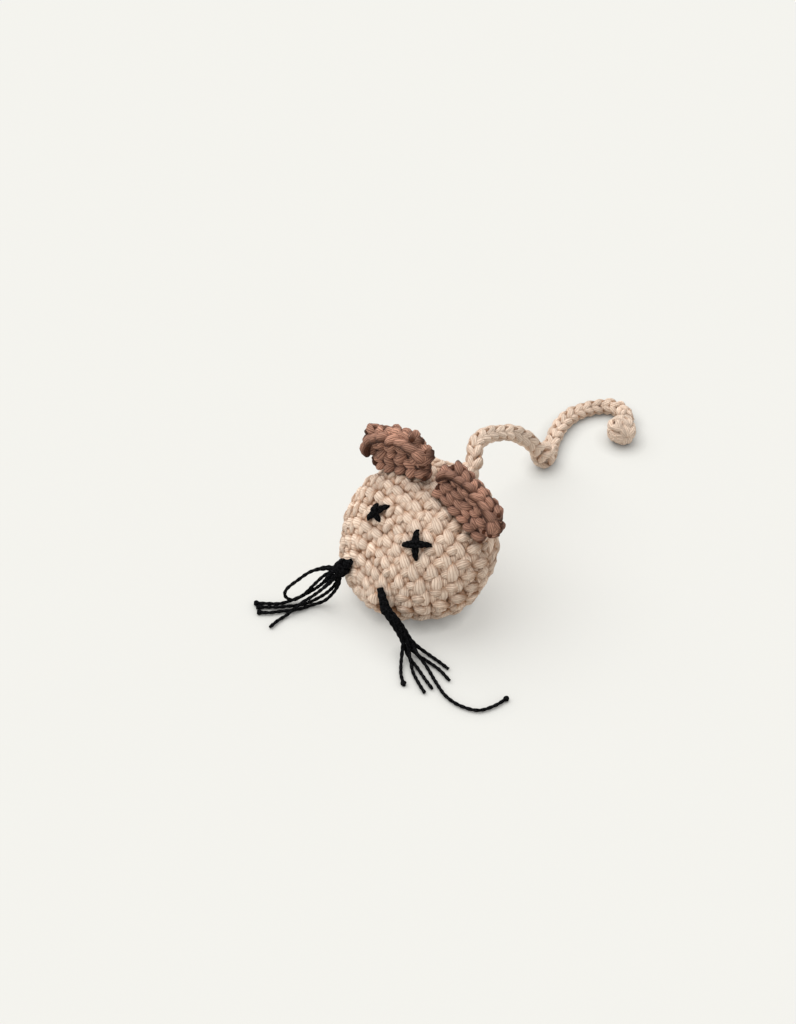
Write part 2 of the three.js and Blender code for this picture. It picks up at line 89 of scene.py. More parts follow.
# Small helpers for nodes
def socketList(group, inputs, outputs):
    for label, kind, value in inputs:
        socket = group.interface.new_socket(label, in_out="INPUT", socket_type=kind)
        if value is not None:
            socket.default_value = value
    for label, kind in outputs:
        group.interface.new_socket(label, in_out="OUTPUT", socket_type=kind)


def addNode(tree, kind, settings=None, **values):
    node = tree.nodes.new(kind)
    for name, value in (settings or {}).items():
        setattr(node, name, value)
    for name, value in values.items():
        fill(tree, node, name.replace("_", " "), value)
    return node


def fill(tree, node, name, value):
    # a socket takes a link from another socket, or a plain value; at0 is the first socket
    key = int(name[2:]) if name.startswith("at") and name[2:].isdigit() else name
    socket = node.inputs[key]
    if isinstance(value, bpy.types.NodeSocket):
        tree.links.new(value, socket)
    else:
        socket.default_value = value


def sums(tree, operation, first, second=None, third=None, clamp=False):
    node = tree.nodes.new("ShaderNodeMath")
    node.operation = operation
    node.use_clamp = clamp
    for index, value in enumerate((first, second, third)):
        if value is not None:
            fill(tree, node, f"at{index}", value)
    return node.outputs[0]


def blendColour(tree, share, first, second):
    node = addNode(tree, "ShaderNodeMix", {"data_type": "RGBA"})
    for name, value in (("at0", share), ("at6", first), ("at7", second)):
        fill(tree, node, name, value)
    return node.outputs[2]


def noise(tree, place, scale, detail, roughness=0.5):
    node = addNode(tree, "ShaderNodeTexNoise", Vector=place, Scale=scale, Detail=detail, Roughness=roughness)
    return node.outputs[0]


def stretchedNoise(tree, along, across, salt, stretch, detail, roughness=0.5):
    x = sums(tree, "MULTIPLY", along, stretch[0])
    y = sums(tree, "MULTIPLY", across, stretch[1])
    place = addNode(tree, "ShaderNodeCombineXYZ", X=x, Y=y, Z=salt)
    return noise(tree, place.outputs[0], 1.0, detail, roughness)


# Shader group: plies along and around a strand, by its UV map
plyLook = {
    "salt": 37.0,  # how far apart the patterns of two strands lie
    "sway": (2.2, 7.0),  # waves along and around a strand
    "crown": 2.5,  # how flat a ply is on top
    "groove": 4.0,  # how narrow the line of painted shade between two plies is
    "fibre": (2.0, 5.0),  # fibres along a strand and across a ply
    "fibreDetail": 4.0,
    "fibreRoughness": 0.65,
    "fibreRelief": 0.9,
    "crownRelief": 0.7,
}


def makePlies():
    group = bpy.data.node_groups.new("yarnPlies", "ShaderNodeTree")
    socketList(
        group,
        [
            ("Plies", "NodeSocketFloat", 5.0),
            ("Twist", "NodeSocketFloat", 1.0),
            ("Wander", "NodeSocketFloat", 0.5),
            ("Shift", "NodeSocketFloat", 0.0),
        ],
        [("Height", "NodeSocketFloat"), ("Groove", "NodeSocketFloat"), ("Streak", "NodeSocketFloat")],
    )
    source = group.nodes.new("NodeGroupInput").outputs
    result = group.nodes.new("NodeGroupOutput")
    uv = addNode(group, "ShaderNodeUVMap", {"uv_map": "yarnUV"})
    split = addNode(group, "ShaderNodeSeparateXYZ", Vector=uv.outputs[0])
    along, around = split.outputs[0], split.outputs[1]
    salt = sums(group, "MULTIPLY", source["Shift"], plyLook["salt"])
    bend = stretchedNoise(group, along, around, salt, plyLook["sway"], 1.0)
    sway = sums(group, "MULTIPLY", sums(group, "SUBTRACT", bend, 0.5), source["Wander"])
    lean = sums(group, "MULTIPLY_ADD", along, source["Twist"], sums(group, "ADD", sway, salt))
    turned = sums(group, "MULTIPLY_ADD", around, source["Plies"], lean)
    away = sums(group, "ABSOLUTE", sums(group, "MULTIPLY_ADD", sums(group, "FRACT", turned), 2.0, -1.0))
    crown = sums(group, "SUBTRACT", 1.0, sums(group, "POWER", away, plyLook["crown"]))
    groove = sums(group, "POWER", away, plyLook["groove"])
    streak = stretchedNoise(group, along, turned, salt, plyLook["fibre"], plyLook["fibreDetail"],
                            plyLook["fibreRoughness"])
    relief = sums(group, "MULTIPLY", crown, plyLook["crownRelief"])
    height = sums(group, "MULTIPLY_ADD", streak, plyLook["fibreRelief"], relief)
    for name, value in (("Height", height), ("Groove", groove), ("Streak", streak)):
        group.links.new(value, result.inputs[name])
    return group


# Shader group: fine cotton fuzz, and broad patches of tone
fuzzLook = {
    "grains": 1800.0,  # to a metre, at size 1
    "grainDetail": 4.0,
    "grainRoughness": 0.7,
    "patches": 1000.0,  # to a metre, at size 1
    "patchDetail": 2.0,
}


def makeFuzz():
    group = bpy.data.node_groups.new("cottonFuzz", "ShaderNodeTree")
    socketList(
        group,
        [("Size", "NodeSocketFloat", 1.0), ("Patch Size", "NodeSocketFloat", 9.0)],
        [("Height", "NodeSocketFloat"), ("Patch", "NodeSocketFloat")],
    )
    source = group.nodes.new("NodeGroupInput").outputs
    result = group.nodes.new("NodeGroupOutput")
    place = group.nodes.new("ShaderNodeTexCoord").outputs["Object"]
    grains = sums(group, "DIVIDE", fuzzLook["grains"], source["Size"])
    patches = sums(group, "DIVIDE", fuzzLook["patches"], source["Patch Size"])
    fuzz = noise(group, place, grains, fuzzLook["grainDetail"], fuzzLook["grainRoughness"])
    group.links.new(fuzz, result.inputs["Height"])
    group.links.new(noise(group, place, patches, fuzzLook["patchDetail"]), result.inputs["Patch"])
    return group


pliesGroup = makePlies()
fuzzGroup = makeFuzz()


# Small helpers for materials
def newMaterial(name):
    material = bpy.data.materials.new(name)
    material.use_nodes = True
    tree = material.node_tree
    tree.nodes.clear()
    shader = tree.nodes.new("ShaderNodeBsdfPrincipled")
    output = tree.nodes.new("ShaderNodeOutputMaterial")
    tree.links.new(shader.outputs[0], output.inputs[0])
    return material, tree, shader


def useGroup(tree, group, **values):
    node = tree.nodes.new("ShaderNodeGroup")
    node.node_tree = group
    for name, value in values.items():
        fill(tree, node, name.replace("_", " "), value)
    return node.outputs


def setShader(shader, **values):
    for name, value in values.items():
        shader.inputs[name.replace("_", " ")].default_value = value


def addBump(tree, shader, height, strength, depth):
    bump = addNode(tree, "ShaderNodeBump", Strength=strength, Distance=depth * mm, Height=height)
    tree.links.new(bump.outputs[0], shader.inputs["Normal"])


# Crochet cotton: lit crests, painted shade in the valleys and ply grooves, soft plies and a tone for each
# stitch
yarnSurface = {
    "twist": 1.6,
    "wander": 1.4,
    "patch": 14.0,  # mm
    "toneShare": 0.35,  # what the drift in tone is made of
    "patchShare": 0.25,
    "streakShare": 0.4,
    "fuzz": 0.3,
    "bump": 0.9,
    "depth": 0.4,  # mm
    "roughness": 0.88,
    "specular": 0.2,
    "sheenRoughness": 0.5,
}
# the crest colour is the yarn where it lies lit; the valley colour is painted shade, taken by valleys,
# backings and ply grooves
yarnColours = {
    "creamYarn": {
        "litCrest": (0.90, 0.715, 0.57, 1), "valley": (0.44, 0.205, 0.09, 1),
        "spread": 0.3, "sheen": 0.12, "groove": 0.5, "plies": 12.0,
    },
    "taupeYarn": {
        "litCrest": (0.53, 0.28, 0.194, 1), "valley": (0.062, 0.015, 0.003, 1),
        "spread": 0.6, "sheen": 0.06, "groove": 1.0, "plies": 15.0,
    },
}


def yarnFinish(name):
    material, tree, shader = newMaterial(name)
    yarn, look = yarnColours[name], yarnSurface
    # the crest share is painted shade: low parts of a stitch take the valley's shade colour, high parts the
    # lit crest colour
    height = addNode(tree, "ShaderNodeAttribute", {"attribute_name": "litCrest"}).outputs["Fac"]
    tone = addNode(tree, "ShaderNodeAttribute", {"attribute_name": "tone"}).outputs["Fac"]
    strands = useGroup(tree, pliesGroup, Plies=yarn["plies"], Twist=look["twist"],
                       Wander=look["wander"], Shift=tone)
    fuzz = useGroup(tree, fuzzGroup, Size=1.0, Patch_Size=look["patch"])
    colour = blendColour(tree, height, yarn["valley"], yarn["litCrest"])
    # painted shade in the grooves between plies, toward the valley's shade colour
    grooveShade = sums(tree, "MULTIPLY", strands["Groove"], yarn["groove"])
    colour = blendColour(tree, grooveShade, colour, yarn["valley"])
    drift = sums(tree, "MULTIPLY", fuzz["Patch"], look["patchShare"])
    drift = sums(tree, "MULTIPLY_ADD", tone, look["toneShare"], drift)
    drift = sums(tree, "MULTIPLY_ADD", strands["Streak"], look["streakShare"], drift)
    gain = sums(tree, "MULTIPLY_ADD", sums(tree, "SUBTRACT", drift, 0.5), 2.0 * yarn["spread"], 1.0)
    scaled = addNode(tree, "ShaderNodeVectorMath", {"operation": "SCALE"}, Vector=colour, Scale=gain)
    tree.links.new(scaled.outputs[0], shader.inputs["Base Color"])
    relief = sums(tree, "MULTIPLY_ADD", fuzz["Height"], look["fuzz"], strands["Height"])
    addBump(tree, shader, relief, look["bump"], look["depth"])
    setShader(shader, Roughness=look["roughness"], Specular_IOR_Level=look["specular"],
              Sheen_Weight=yarn["sheen"], Sheen_Roughness=look["sheenRoughness"])
    return material


# Black thread, dull, with paler fibres
threadSurface = {
    "colour": (0.0007, 0.0007, 0.0008, 1),
    "fibre": (0.026, 0.026, 0.028, 1),
    "contrast": (3.2, -1.35),  # how sharply the fibres stand out, and how few they are
    "grain": 0.8,
    "patch": 3.0,  # mm
    "bump": 0.6,
    "depth": 0.12,  # mm
    "roughness": 0.8,
}


def threadFinish(name):
    material, tree, shader = newMaterial(name)
    look = threadSurface
    fuzz = useGroup(tree, fuzzGroup, Size=look["grain"], Patch_Size=look["patch"])
    fibres = sums(tree, "MULTIPLY_ADD", fuzz["Height"], *look["contrast"], clamp=True)
    tree.links.new(blendColour(tree, fibres, look["colour"], look["fibre"]), shader.inputs["Base Color"])
    addBump(tree, shader, fuzz["Height"], look["bump"], look["depth"])
    setShader(shader, Roughness=look["roughness"], Specular_IOR_Level=0.0)
    return material


creamYarn = yarnFinish("creamYarn")
taupeYarn = yarnFinish("taupeYarn")
blackThread = threadFinish("blackThread")
print("finishes made")

stitchVariants = 3  # near-alike forms of each stitch, so that neighbours differ


# Geometry Nodes: stitches set on marked places
def makeStitchTree():
    tree = bpy.data.node_groups.new("stitchField", "GeometryNodeTree")
    socketList(
        tree,
        [
            ("Geometry", "NodeSocketGeometry", None),
            ("Stitches", "NodeSocketCollection", None),
            ("Backing", "NodeSocketObject", None),
            ("Wobble", "NodeSocketFloat", 0.1),
            ("Size Drift", "NodeSocketFloat", 0.06),
            ("Seed", "NodeSocketInt", 1),
            ("Yarn", "NodeSocketMaterial", None),
        ],
        [("Geometry", "NodeSocketGeometry")],
    )
    source = tree.nodes.new("NodeGroupInput").outputs
    result = tree.nodes.new("NodeGroupOutput")

    def marked(name):
        node = addNode(tree, "GeometryNodeInputNamedAttribute", {"data_type": "FLOAT_VECTOR"}, Name=name)
        return node.outputs[0]

    def chance(kind, low, high, salt):
        node = addNode(tree, "FunctionNodeRandomValue", {"data_type": kind})
        slot = {"FLOAT_VECTOR": 0, "FLOAT": 2, "INT": 4}[kind]
        fill(tree, node, f"at{slot}", low)
        fill(tree, node, f"at{slot + 1}", high)
        fill(tree, node, "Seed", sums(tree, "ADD", source["Seed"], salt))
        return next(s for s in node.outputs if s.enabled)

    # each stitch stands on its mark, a little turned and sized by chance
    facing = addNode(tree, "FunctionNodeAxesToRotation", {"primary_axis": "Z", "secondary_axis": "Y"},
                     Primary_Axis=marked("outward"), Secondary_Axis=marked("grow"))
    tilt = chance("FLOAT_VECTOR", sums(tree, "MULTIPLY", source["Wobble"], -1.0), source["Wobble"], 1)
    tilted = addNode(tree, "FunctionNodeEulerToRotation", Euler=tilt)
    turned = addNode(tree, "FunctionNodeRotateRotation", {"rotation_space": "LOCAL"},
                     Rotation=facing.outputs[0], Rotate_By=tilted.outputs[0])
    least = sums(tree, "SUBTRACT", 1.0, source["Size Drift"])
    most = sums(tree, "ADD", 1.0, source["Size Drift"])
    size = addNode(tree, "ShaderNodeVectorMath", {"operation": "MULTIPLY"},
                   at0=marked("size"), at1=chance("FLOAT_VECTOR", least, most, 2))
    shapes = addNode(tree, "GeometryNodeCollectionInfo", {"transform_space": "RELATIVE"},
                     Collection=source["Stitches"], Separate_Children=True, Reset_Children=True)
    placed = addNode(tree, "GeometryNodeInstanceOnPoints", Points=source["Geometry"],
                     Instance=shapes.outputs[0], Pick_Instance=True,
                     Instance_Index=chance("INT", 0, stitchVariants - 1, 3),
                     Rotation=turned.outputs[0], Scale=size.outputs[0])
    toned = addNode(tree, "GeometryNodeStoreNamedAttribute", {"data_type": "FLOAT", "domain": "INSTANCE"},
                    Geometry=placed.outputs[0], Name="tone", Value=chance("FLOAT", 0.0, 1.0, 4))
    base = addNode(tree, "GeometryNodeObjectInfo", Object=source["Backing"])
    joined = tree.nodes.new("GeometryNodeJoinGeometry")
    tree.links.new(base.outputs["Geometry"], joined.inputs[0])
    tree.links.new(toned.outputs[0], joined.inputs[0])
    real = addNode(tree, "GeometryNodeRealizeInstances", Geometry=joined.outputs[0])
    smooth = addNode(tree, "GeometryNodeSetShadeSmooth", Geometry=real.outputs[0])
    dressed = addNode(tree, "GeometryNodeSetMaterial", Geometry=smooth.outputs[0], Material=source["Yarn"])
    tree.links.new(dressed.outputs[0], result.inputs[0])
    return tree


# Geometry Nodes: plied thread along a path
threadForm = {
    "plies": 2.0,
    "plyDepth": 0.13,  # share of the radius
    "twist": 210.0,  # turns to a metre
    "spacing": 0.4,  # mm
    "sides": 12,
}


def makeThreadTree():
    tree = bpy.data.node_groups.new("pliedThread", "GeometryNodeTree")
    socketList(
        tree,
        [
            ("Geometry", "NodeSocketGeometry", None),
            ("Plies", "NodeSocketFloat", threadForm["plies"]),
            ("Ply Depth", "NodeSocketFloat", threadForm["plyDepth"]),
            ("Twist", "NodeSocketFloat", threadForm["twist"]),
            ("Spacing", "NodeSocketFloat", threadForm["spacing"] * mm),
            ("Sides", "NodeSocketInt", threadForm["sides"]),
            ("Thread", "NodeSocketMaterial", None),
        ],
        [("Geometry", "NodeSocketGeometry")],
    )
    source = tree.nodes.new("NodeGroupInput").outputs
    result = tree.nodes.new("NodeGroupOutput")
    even = addNode(tree, "GeometryNodeResampleCurve", {"mode": "LENGTH"},
                   Curve=source["Geometry"], Length=source["Spacing"])
    travel = tree.nodes.new("GeometryNodeSplineParameter").outputs
    twist = sums(tree, "MULTIPLY", sums(tree, "MULTIPLY", travel["Length"], source["Twist"]), 2 * math.pi)
    twisted = addNode(tree, "GeometryNodeSetCurveTilt", Curve=even.outputs[0], Tilt=twist)
    ring = addNode(tree, "GeometryNodeCurvePrimitiveCircle", Resolution=source["Sides"], Radius=1.0)
    turn = sums(tree, "MULTIPLY", sums(tree, "MULTIPLY", travel["Factor"], source["Plies"]), 2 * math.pi)
    lobe = sums(tree, "MULTIPLY", sums(tree, "COSINE", turn), source["Ply Depth"])
    place = tree.nodes.new("GeometryNodeInputPosition").outputs[0]
    push = addNode(tree, "ShaderNodeVectorMath", {"operation": "SCALE"}, Vector=place, Scale=lobe)
    lobed = addNode(tree, "GeometryNodeSetPosition", Geometry=ring.outputs[0], Offset=push.outputs[0])
    thick = tree.nodes.new("GeometryNodeInputRadius").outputs[0]
    swept = addNode(tree, "GeometryNodeCurveToMesh", Curve=twisted.outputs[0],
                    Profile_Curve=lobed.outputs[0], Scale=thick, Fill_Caps=True)
    smooth = addNode(tree, "GeometryNodeSetShadeSmooth", Geometry=swept.outputs[0])
    real = addNode(tree, "GeometryNodeRealizeInstances", Geometry=smooth.outputs[0])
    dressed = addNode(tree, "GeometryNodeSetMaterial", Geometry=real.outputs[0], Material=source["Thread"])
    tree.links.new(dressed.outputs[0], result.inputs[0])
    return tree


stitchTree = makeStitchTree()
threadTree = makeThreadTree()
helpers = []


# From marks and paths to plain meshes
def runTree(carrier, tree, values):
    # the modifier's inputs go in by identifier
    modifier = carrier.modifiers.new(tree.name, "NODES")
    modifier.node_group = tree
    for item in tree.interface.items_tree:
        if item.item_type == "SOCKET" and item.in_out == "INPUT" and item.name in values:
            modifier[item.identifier] = values[item.name]
    shown = carrier.evaluated_get(bpy.context.evaluated_depsgraph_get())
    mesh = bpy.data.meshes.new_from_object(shown)
    carrier.modifiers.remove(modifier)
    return mesh


def newPiece(name, mesh):
    piece = bpy.data.objects.new(name, mesh)
    mesh.name = name
    scene.collection.objects.link(piece)
    return piece


def newHelper(name, data):
    helper = newPiece(name, data)
    helpers.append(helper)
    return helper


def crochetMesh(name, marks, stitches, yarn, look, backing=None):
    # marks are places in mm, with the way out, the way the stitch grows, and its size
    mesh = bpy.data.meshes.new(f"{name}Marks")
    places, *vectors = zip(*marks)
    mesh.from_pydata([tuple(p) for p in np.array(places) * mm], [], [])
    for label, values in zip(("outward", "grow", "size"), vectors):
        layer = mesh.attributes.new(label, "FLOAT_VECTOR", "POINT")
        layer.data.foreach_set("vector", np.array(values, np.float32).ravel())
    carrier = newHelper(f"{name}Marks", mesh)
    values = {"Stitches": stitches, "Wobble": look["wobble"], "Size Drift": look["sizeDrift"],
              "Seed": look["seed"], "Yarn": yarn}
    if backing is not None:
        values["Backing"] = backing
    return runTree(carrier, stitchTree, values)


# yarn layers: the crest share is painted shade (0 gives the valley's shade colour), and the tone varies at
# random
def addYarnLayers(mesh, litCrest):
    mesh.uv_layers.new(name="yarnUV")
    mesh.attributes.new("litCrest", "FLOAT", "POINT").data.foreach_set("value", [litCrest] * len(mesh.vertices))
    mesh.attributes.new("tone", "FLOAT", "POINT")


def threadMesh(name, strands, material, litCrest=0.8, **values):
    # each strand is a line of points and a thickness at each, in mm
    data = bpy.data.curves.new(name, "CURVE")
    data.dimensions = "3D"
    for line, radius in strands:
        spline = data.splines.new("POLY")
        spline.points.add(len(line) - 1)
        radius = np.broadcast_to(radius, len(line))
        for point, place, thick in zip(spline.points, line, radius):
            point.co = (*(np.array(place) * mm), 1)
            point.radius = float(thick) * mm
    carrier = newHelper(f"{name}Path", data)
    mesh = runTree(carrier, threadTree, {"Thread": material, **values})
    # the thread keeps one share of painted shade along its whole length
    addYarnLayers(mesh, litCrest)
    return mesh


def backingMesh(name, rings, poles, litCrest=0.0):
    # closed skin over rings of points between two poles, in one painted shade set by its share of the lit
    # crest colour (0 gives the valley's shade colour)
    verts = [tuple(p) for p in np.vstack([poles[0], np.array(rings).reshape(-1, 3), poles[1]]) * mm]
    sides = len(rings[0])
    faces = []
    last = len(verts) - 1
    for side in range(sides):
        after = (side + 1) % sides
        faces.append((0, 1 + side, 1 + after))
        for ring in range(len(rings) - 1):
            low, high = 1 + ring * sides, 1 + (ring + 1) * sides
            faces.append((low + side, high + side, high + after, low + after))
        low = 1 + (len(rings) - 1) * sides
        faces.append((last, low + after, low + side))
    mesh = bpy.data.meshes.new(name)
    mesh.from_pydata(verts, [], faces)
    form = bmesh.new()
    form.from_mesh(mesh)
    bmesh.ops.recalc_face_normals(form, faces=form.faces)
    form.to_mesh(mesh)
    form.free()
    addYarnLayers(mesh, litCrest)
    return newHelper(name, mesh)


def onFloor(mesh, least=0.02):
    # yarn that would reach under the floor is pressed flat on it
    spots = np.zeros(len(mesh.vertices) * 3, np.float32)
    mesh.vertices.foreach_get("co", spots)
    spots = spots.reshape(-1, 3)
    spots[:, 2] = np.maximum(spots[:, 2], least * mm)
    mesh.vertices.foreach_set("co", spots.ravel())
    mesh.update()


# Lines and directions
def unit(v):
    v = np.asarray(v, float)
    return v / np.maximum(np.linalg.norm(v, axis=-1, keepdims=True), 1e-9)


def runOf(line):
    # distance along a line at each of its points
    return np.concatenate([[0], np.cumsum(np.linalg.norm(np.diff(line, axis=0), axis=1))])


def alongLine(line, run, travel):
    return np.stack([np.interp(travel, run, line[:, axis]) for axis in range(3)], -1)


def pathLength(line):
    return float(np.linalg.norm(np.diff(line, axis=0), axis=1).sum())


def evenSteps(line, count):
    run = runOf(line)
    even = np.linspace(0, run[-1], count)
    return alongLine(line, run, even), even


def evenLine(line, step):
    return evenSteps(line, max(2, int(round(pathLength(line) / step))) + 1)


def smoothPath(points, parts=12):
    # the same smooth curve through route points as the solids have
    points = np.array(points, float)
    line = []
    for index in range(len(points) - 1):
        b, c = points[index], points[index + 1]
        a = points[index - 1] if index else 2 * b - c
        d = points[index + 2] if index + 2 < len(points) else 2 * c - b
        one, two, three = (max(np.linalg.norm(q - p), 1e-6) ** 0.5 for p, q in ((a, b), (b, c), (c, d)))
        leave = ((b - a) / one - (c - a) / (one + two) + (c - b) / two) * two
        arrive = ((c - b) / two - (d - b) / (two + three) + (d - c) / three) * two
        for step in range(parts):
            t = step / parts
            spot = b * (2 * t**3 - 3 * t**2 + 1) + c * (3 * t**2 - 2 * t**3)
            line.append(spot + leave * (t**3 - 2 * t**2 + t) + arrive * (t**3 - t**2))
    return np.array(line + [points[-1]])


def acrossAxes(axis):
    # two directions square to an axis, the first of them level
    side = unit(np.cross(axis, (0, 0, 1)))
    return side, np.cross(side, axis)


# Stitches: a strand is the start, middle and end of its line in mm, then width, thickness, sides and rings
stitchShapes = {
    # a single crochet leans: one leg lies along the round, the others climb under the next round
    "singleStitch": {
        "strands": [
            (((2.3, -2.0, -0.9), (-0.8, -0.4, 0.6), (-4.0, 1.1, -0.8)), 4.1, 2.3, 8, 6),
            (((1.3, 0.6, -1.0), (2.4, 3.2, 0.35), (3.6, 6.0, -1.0)), 3.5, 2.3, 6, 5),
            (((1.9, 1.0, -1.1), (-0.7, 2.2, 0.15), (-3.5, 3.4, -1.1)), 3.3, 2.3, 6, 5),
        ],
        "taper": 0.3,
        "shade": (0.3, 1.18),  # heights between which the painted shade goes from the valley's shade colour to the lit crest colour
        # least: the lit share at a stitch's deepest point, so how dark its painted shade gets
        "least": 0.0,
        "seed": 11,
    },
    # the tail's chain is a V whose legs cross at the foot
    "chainStitch": {
        "strands": [
            (((-0.6, -2.3, -0.7), (0.8, -0.2, 0.55), (2.2, 2.0, -0.9)), 2.5, 2.5, 9, 6),
            (((0.4, -2.6, -1.0), (-0.95, -0.3, 0.4), (-2.2, 1.9, -0.9)), 2.5, 2.5, 9, 6),
        ],
        "taper": 0.15,
        "shade": (-0.5, 0.4),
        "least": 0.1,
        "seed": 12,
    },
    # the ears' chain has plumper strands, and its painted shade reaches higher up their edges
    "earStitch": {
        "strands": [
            (((0.1, -2.9, -1.1), (1.3, 0.0, 0.45), (1.7, 3.1, -1.0)), 2.8, 2.9, 9, 6),
            (((-0.1, -2.9, -1.1), (-1.3, 0.0, 0.45), (-1.7, 3.1, -1.0)), 2.8, 2.9, 9, 6),
        ],
        "taper": 0.12,
        "shade": (0.05, 1.2),
        "least": 0.05,
        "seed": 14,
    },
    # a long strand lies along a row without a loop
    "longStitch": {
        "strands": [
            (((0.6, -6.0, -0.8), (0.8, 0.0, 0.4), (-0.4, 6.0, -0.8)), 2.8, 2.8, 9, 8),
            (((-0.8, -5.4, -0.8), (-0.9, 0.5, 0.3), (0.5, 5.6, -0.8)), 2.6, 2.6, 9, 8),
        ],
        "taper": 0.0,
        "shade": (-0.9, 0.5),
        "least": 0.0,
        "seed": 13,
    },
}
# A strand is a plump spindle, squared a little where strands press on each other
strandForm = {
    "inset": 0.03,  # share of its line that is left off at each end
    "blunt": 0.05,
    "swell": 0.48,
    "square": 0.75,
    "stray": 0.22,  # mm
    "widths": (0.93, 1.08),
    "thicknesses": (0.94, 1.08),
}


def squared(value):
    return math.copysign(abs(value) ** strandForm["square"], value)


def addStrand(form, uv, litCrest, shape, path, width, thick, sides, rings):
    start, middle, end = (np.array(p, float) for p in path)
    control = 2 * middle - (start + end) / 2
    inset, blunt = strandForm["inset"], strandForm["blunt"]
    grid = []
    for ring in range(rings):
        t = inset + (1 - 2 * inset) * ring / (rings - 1)
        centre = (1 - t) ** 2 * start + 2 * t * (1 - t) * control + t * t * end
        ahead = unit(2 * (1 - t) * (control - start) + 2 * t * (end - control))
        aside, above = acrossAxes(ahead)
        swell = math.sin(math.pi * (blunt + (1 - 2 * blunt) * t)) ** strandForm["swell"]
        swell *= 1 - shape["taper"] * t * t
        row = []
        for side in range(sides):
            turn = 2 * math.pi * side / sides
            across, rise = squared(math.sin(turn)) * width / 2, squared(math.cos(turn)) * thick / 2
            point = centre - (aside * across + above * rise) * swell
            row.append(form.verts.new(point))
            # painted shade: the lower a point lies in its stitch, the more of the valley's shade colour it
            # takes
            row[-1][litCrest] = float(np.interp(point[2], shape["shade"], (shape["least"], 1)))
        grid.append((t, row))
    for (t0, low), (t1, high) in zip(grid, grid[1:]):
        for side in range(sides):
            after = (side + 1) % sides
            face = form.faces.new((low[side], high[side], high[after], low[after]))
            for loop, place in zip(face.loops, ((t0, side), (t1, side), (t1, side + 1), (t0, side + 1))):
                loop[uv].uv = (place[0], place[1] / sides)
    for (t, row), order in ((grid[0], 1), (grid[-1], -1)):
        face = form.faces.new(row[::order])
        for loop in face.loops:
            loop[uv].uv = (t, 0.5)


def stitchCollection(name):
    shape = stitchShapes[name]
    rng = np.random.default_rng(shape["seed"])
    group = bpy.data.collections.new(name)
    for variant in range(stitchVariants):
        form = bmesh.new()
        uv = form.loops.layers.uv.new("yarnUV")
        litCrest = form.verts.layers.float.new("litCrest")
        for path, width, thick, sides, rings in shape["strands"]:
            shift = rng.uniform(-strandForm["stray"], strandForm["stray"], (3, 3))
            width = width * rng.uniform(*strandForm["widths"])
            thick = thick * rng.uniform(*strandForm["thicknesses"])
            addStrand(form, uv, litCrest, shape, np.array(path) + shift, width, thick, sides, rings)
        bmesh.ops.recalc_face_normals(form, faces=form.faces)
        form.transform(Matrix.Scale(mm, 4))
        mesh = bpy.data.meshes.new(f"{name}{variant}")
        form.to_mesh(mesh)
        form.free()
        stitch = bpy.data.objects.new(f"{name}{variant}", mesh)
        group.objects.link(stitch)
        helpers.append(stitch)
    scene.collection.children.link(group)
    return group


singleStitch = stitchCollection("singleStitch")
chainStitch = stitchCollection("chainStitch")
earStitch = stitchCollection("earStitch")
longStitch = stitchCollection("longStitch")
print("stitches made")

# Body cover: rounds of single crochet from the nose to the rump
bodyCrochet = {
    "stitchWidth": 5.0,  # mm
    "stitchPitch": 5.6,
    "pitchRange": (0.72, 1.3),
    "rounds": 14,
    "roundDepth": 1.3,  # how deep the solid's rounds are
    "sink": 1.65,
    "backingSink": 1.55,
    "wobble": 0.1,
    "sizeDrift": 0.07,
    "stray": 0.16,
    "lean": 0.1,  # how far each round shifts, in stitches
    "seed": 4,
    "nosePole": (0, -25.6, 13),
    "rumpPole": (0, 25.6, 33),
    "waist": (1.9, 21.3),  # where the middle line is level with the widest round
    "firstRound": 6,
    "rosettes": ((0.03, 5), (0.968, 6), (0.988, 3)),  # where stitches close the cover, and how many
    "rosetteSize": (0.8, 0.75, 1.0),
    "rosetteTurn": 0.3,
}
nosePole = np.array(bodyCrochet["nosePole"], float)
rumpPole = np.array(bodyCrochet["rumpPole"], float)
bodyHeart = (nosePole + rumpPole) / 2
coverTree = BVHTree.FromObject(frame["nodes"]["body_cover"], bpy.context.evaluated_depsgraph_get())


def bodyGrid(sides=72, stations=140, steps=6, rayStart=0.09):
    # even steps along lines from the nose to the rump, with the solid's rounds smoothed away
    rounds, waist = bodyCrochet["rounds"], bodyCrochet["waist"]
    waves = (1 - np.cos(np.pi * np.arange(1, stations) / stations)) / 2
    ys = nosePole[1] + (rumpPole[1] - nosePole[1]) * waves
    middle = np.interp(ys, [nosePole[1], waist[0], rumpPole[1]], [nosePole[2], waist[1], rumpPole[2]])
    climb = np.arange(rounds * steps + 1) / steps
    ends = np.clip(np.minimum(climb, rounds - climb), 0, 1)[:, None]
    grid = np.zeros((sides, len(climb), 3))
    for side in range(sides):
        turn = 2 * math.pi * side / sides
        out = Vector((math.cos(turn), 0, math.sin(turn)))
        line = [nosePole]
        for y, z in zip(ys, middle):
            start = Vector((0, y, z)) * mm + out * rayStart
            spot, normal, index, distance = coverTree.ray_cast(start, -out, rayStart - mm)
            if spot is not None:
                line.append(np.array(spot) / mm)
        line, even = evenSteps(np.array(line + [rumpPole]), len(climb))
        calm = line.copy()
        for step in range(1, len(climb) - 1):
            half = min(steps // 2, step, len(climb) - 1 - step)
            calm[step] = line[step - half:step + half + 1].mean(axis=0)
        grid[side] = calm + unit(calm - bodyHeart) * ends * bodyCrochet["roundDepth"] / 2
    return grid


bodySkin = bodyGrid()


def skinMesh():
    sides, steps = bodySkin.shape[:2]
    faces = []
    for side in range(sides):
        here, after = side * steps, (side + 1) % sides * steps
        for step in range(steps - 1):
            faces.append((here + step, here + step + 1, after + step + 1, after + step))
    return [tuple(p) for p in bodySkin.reshape(-1, 3) * mm], faces


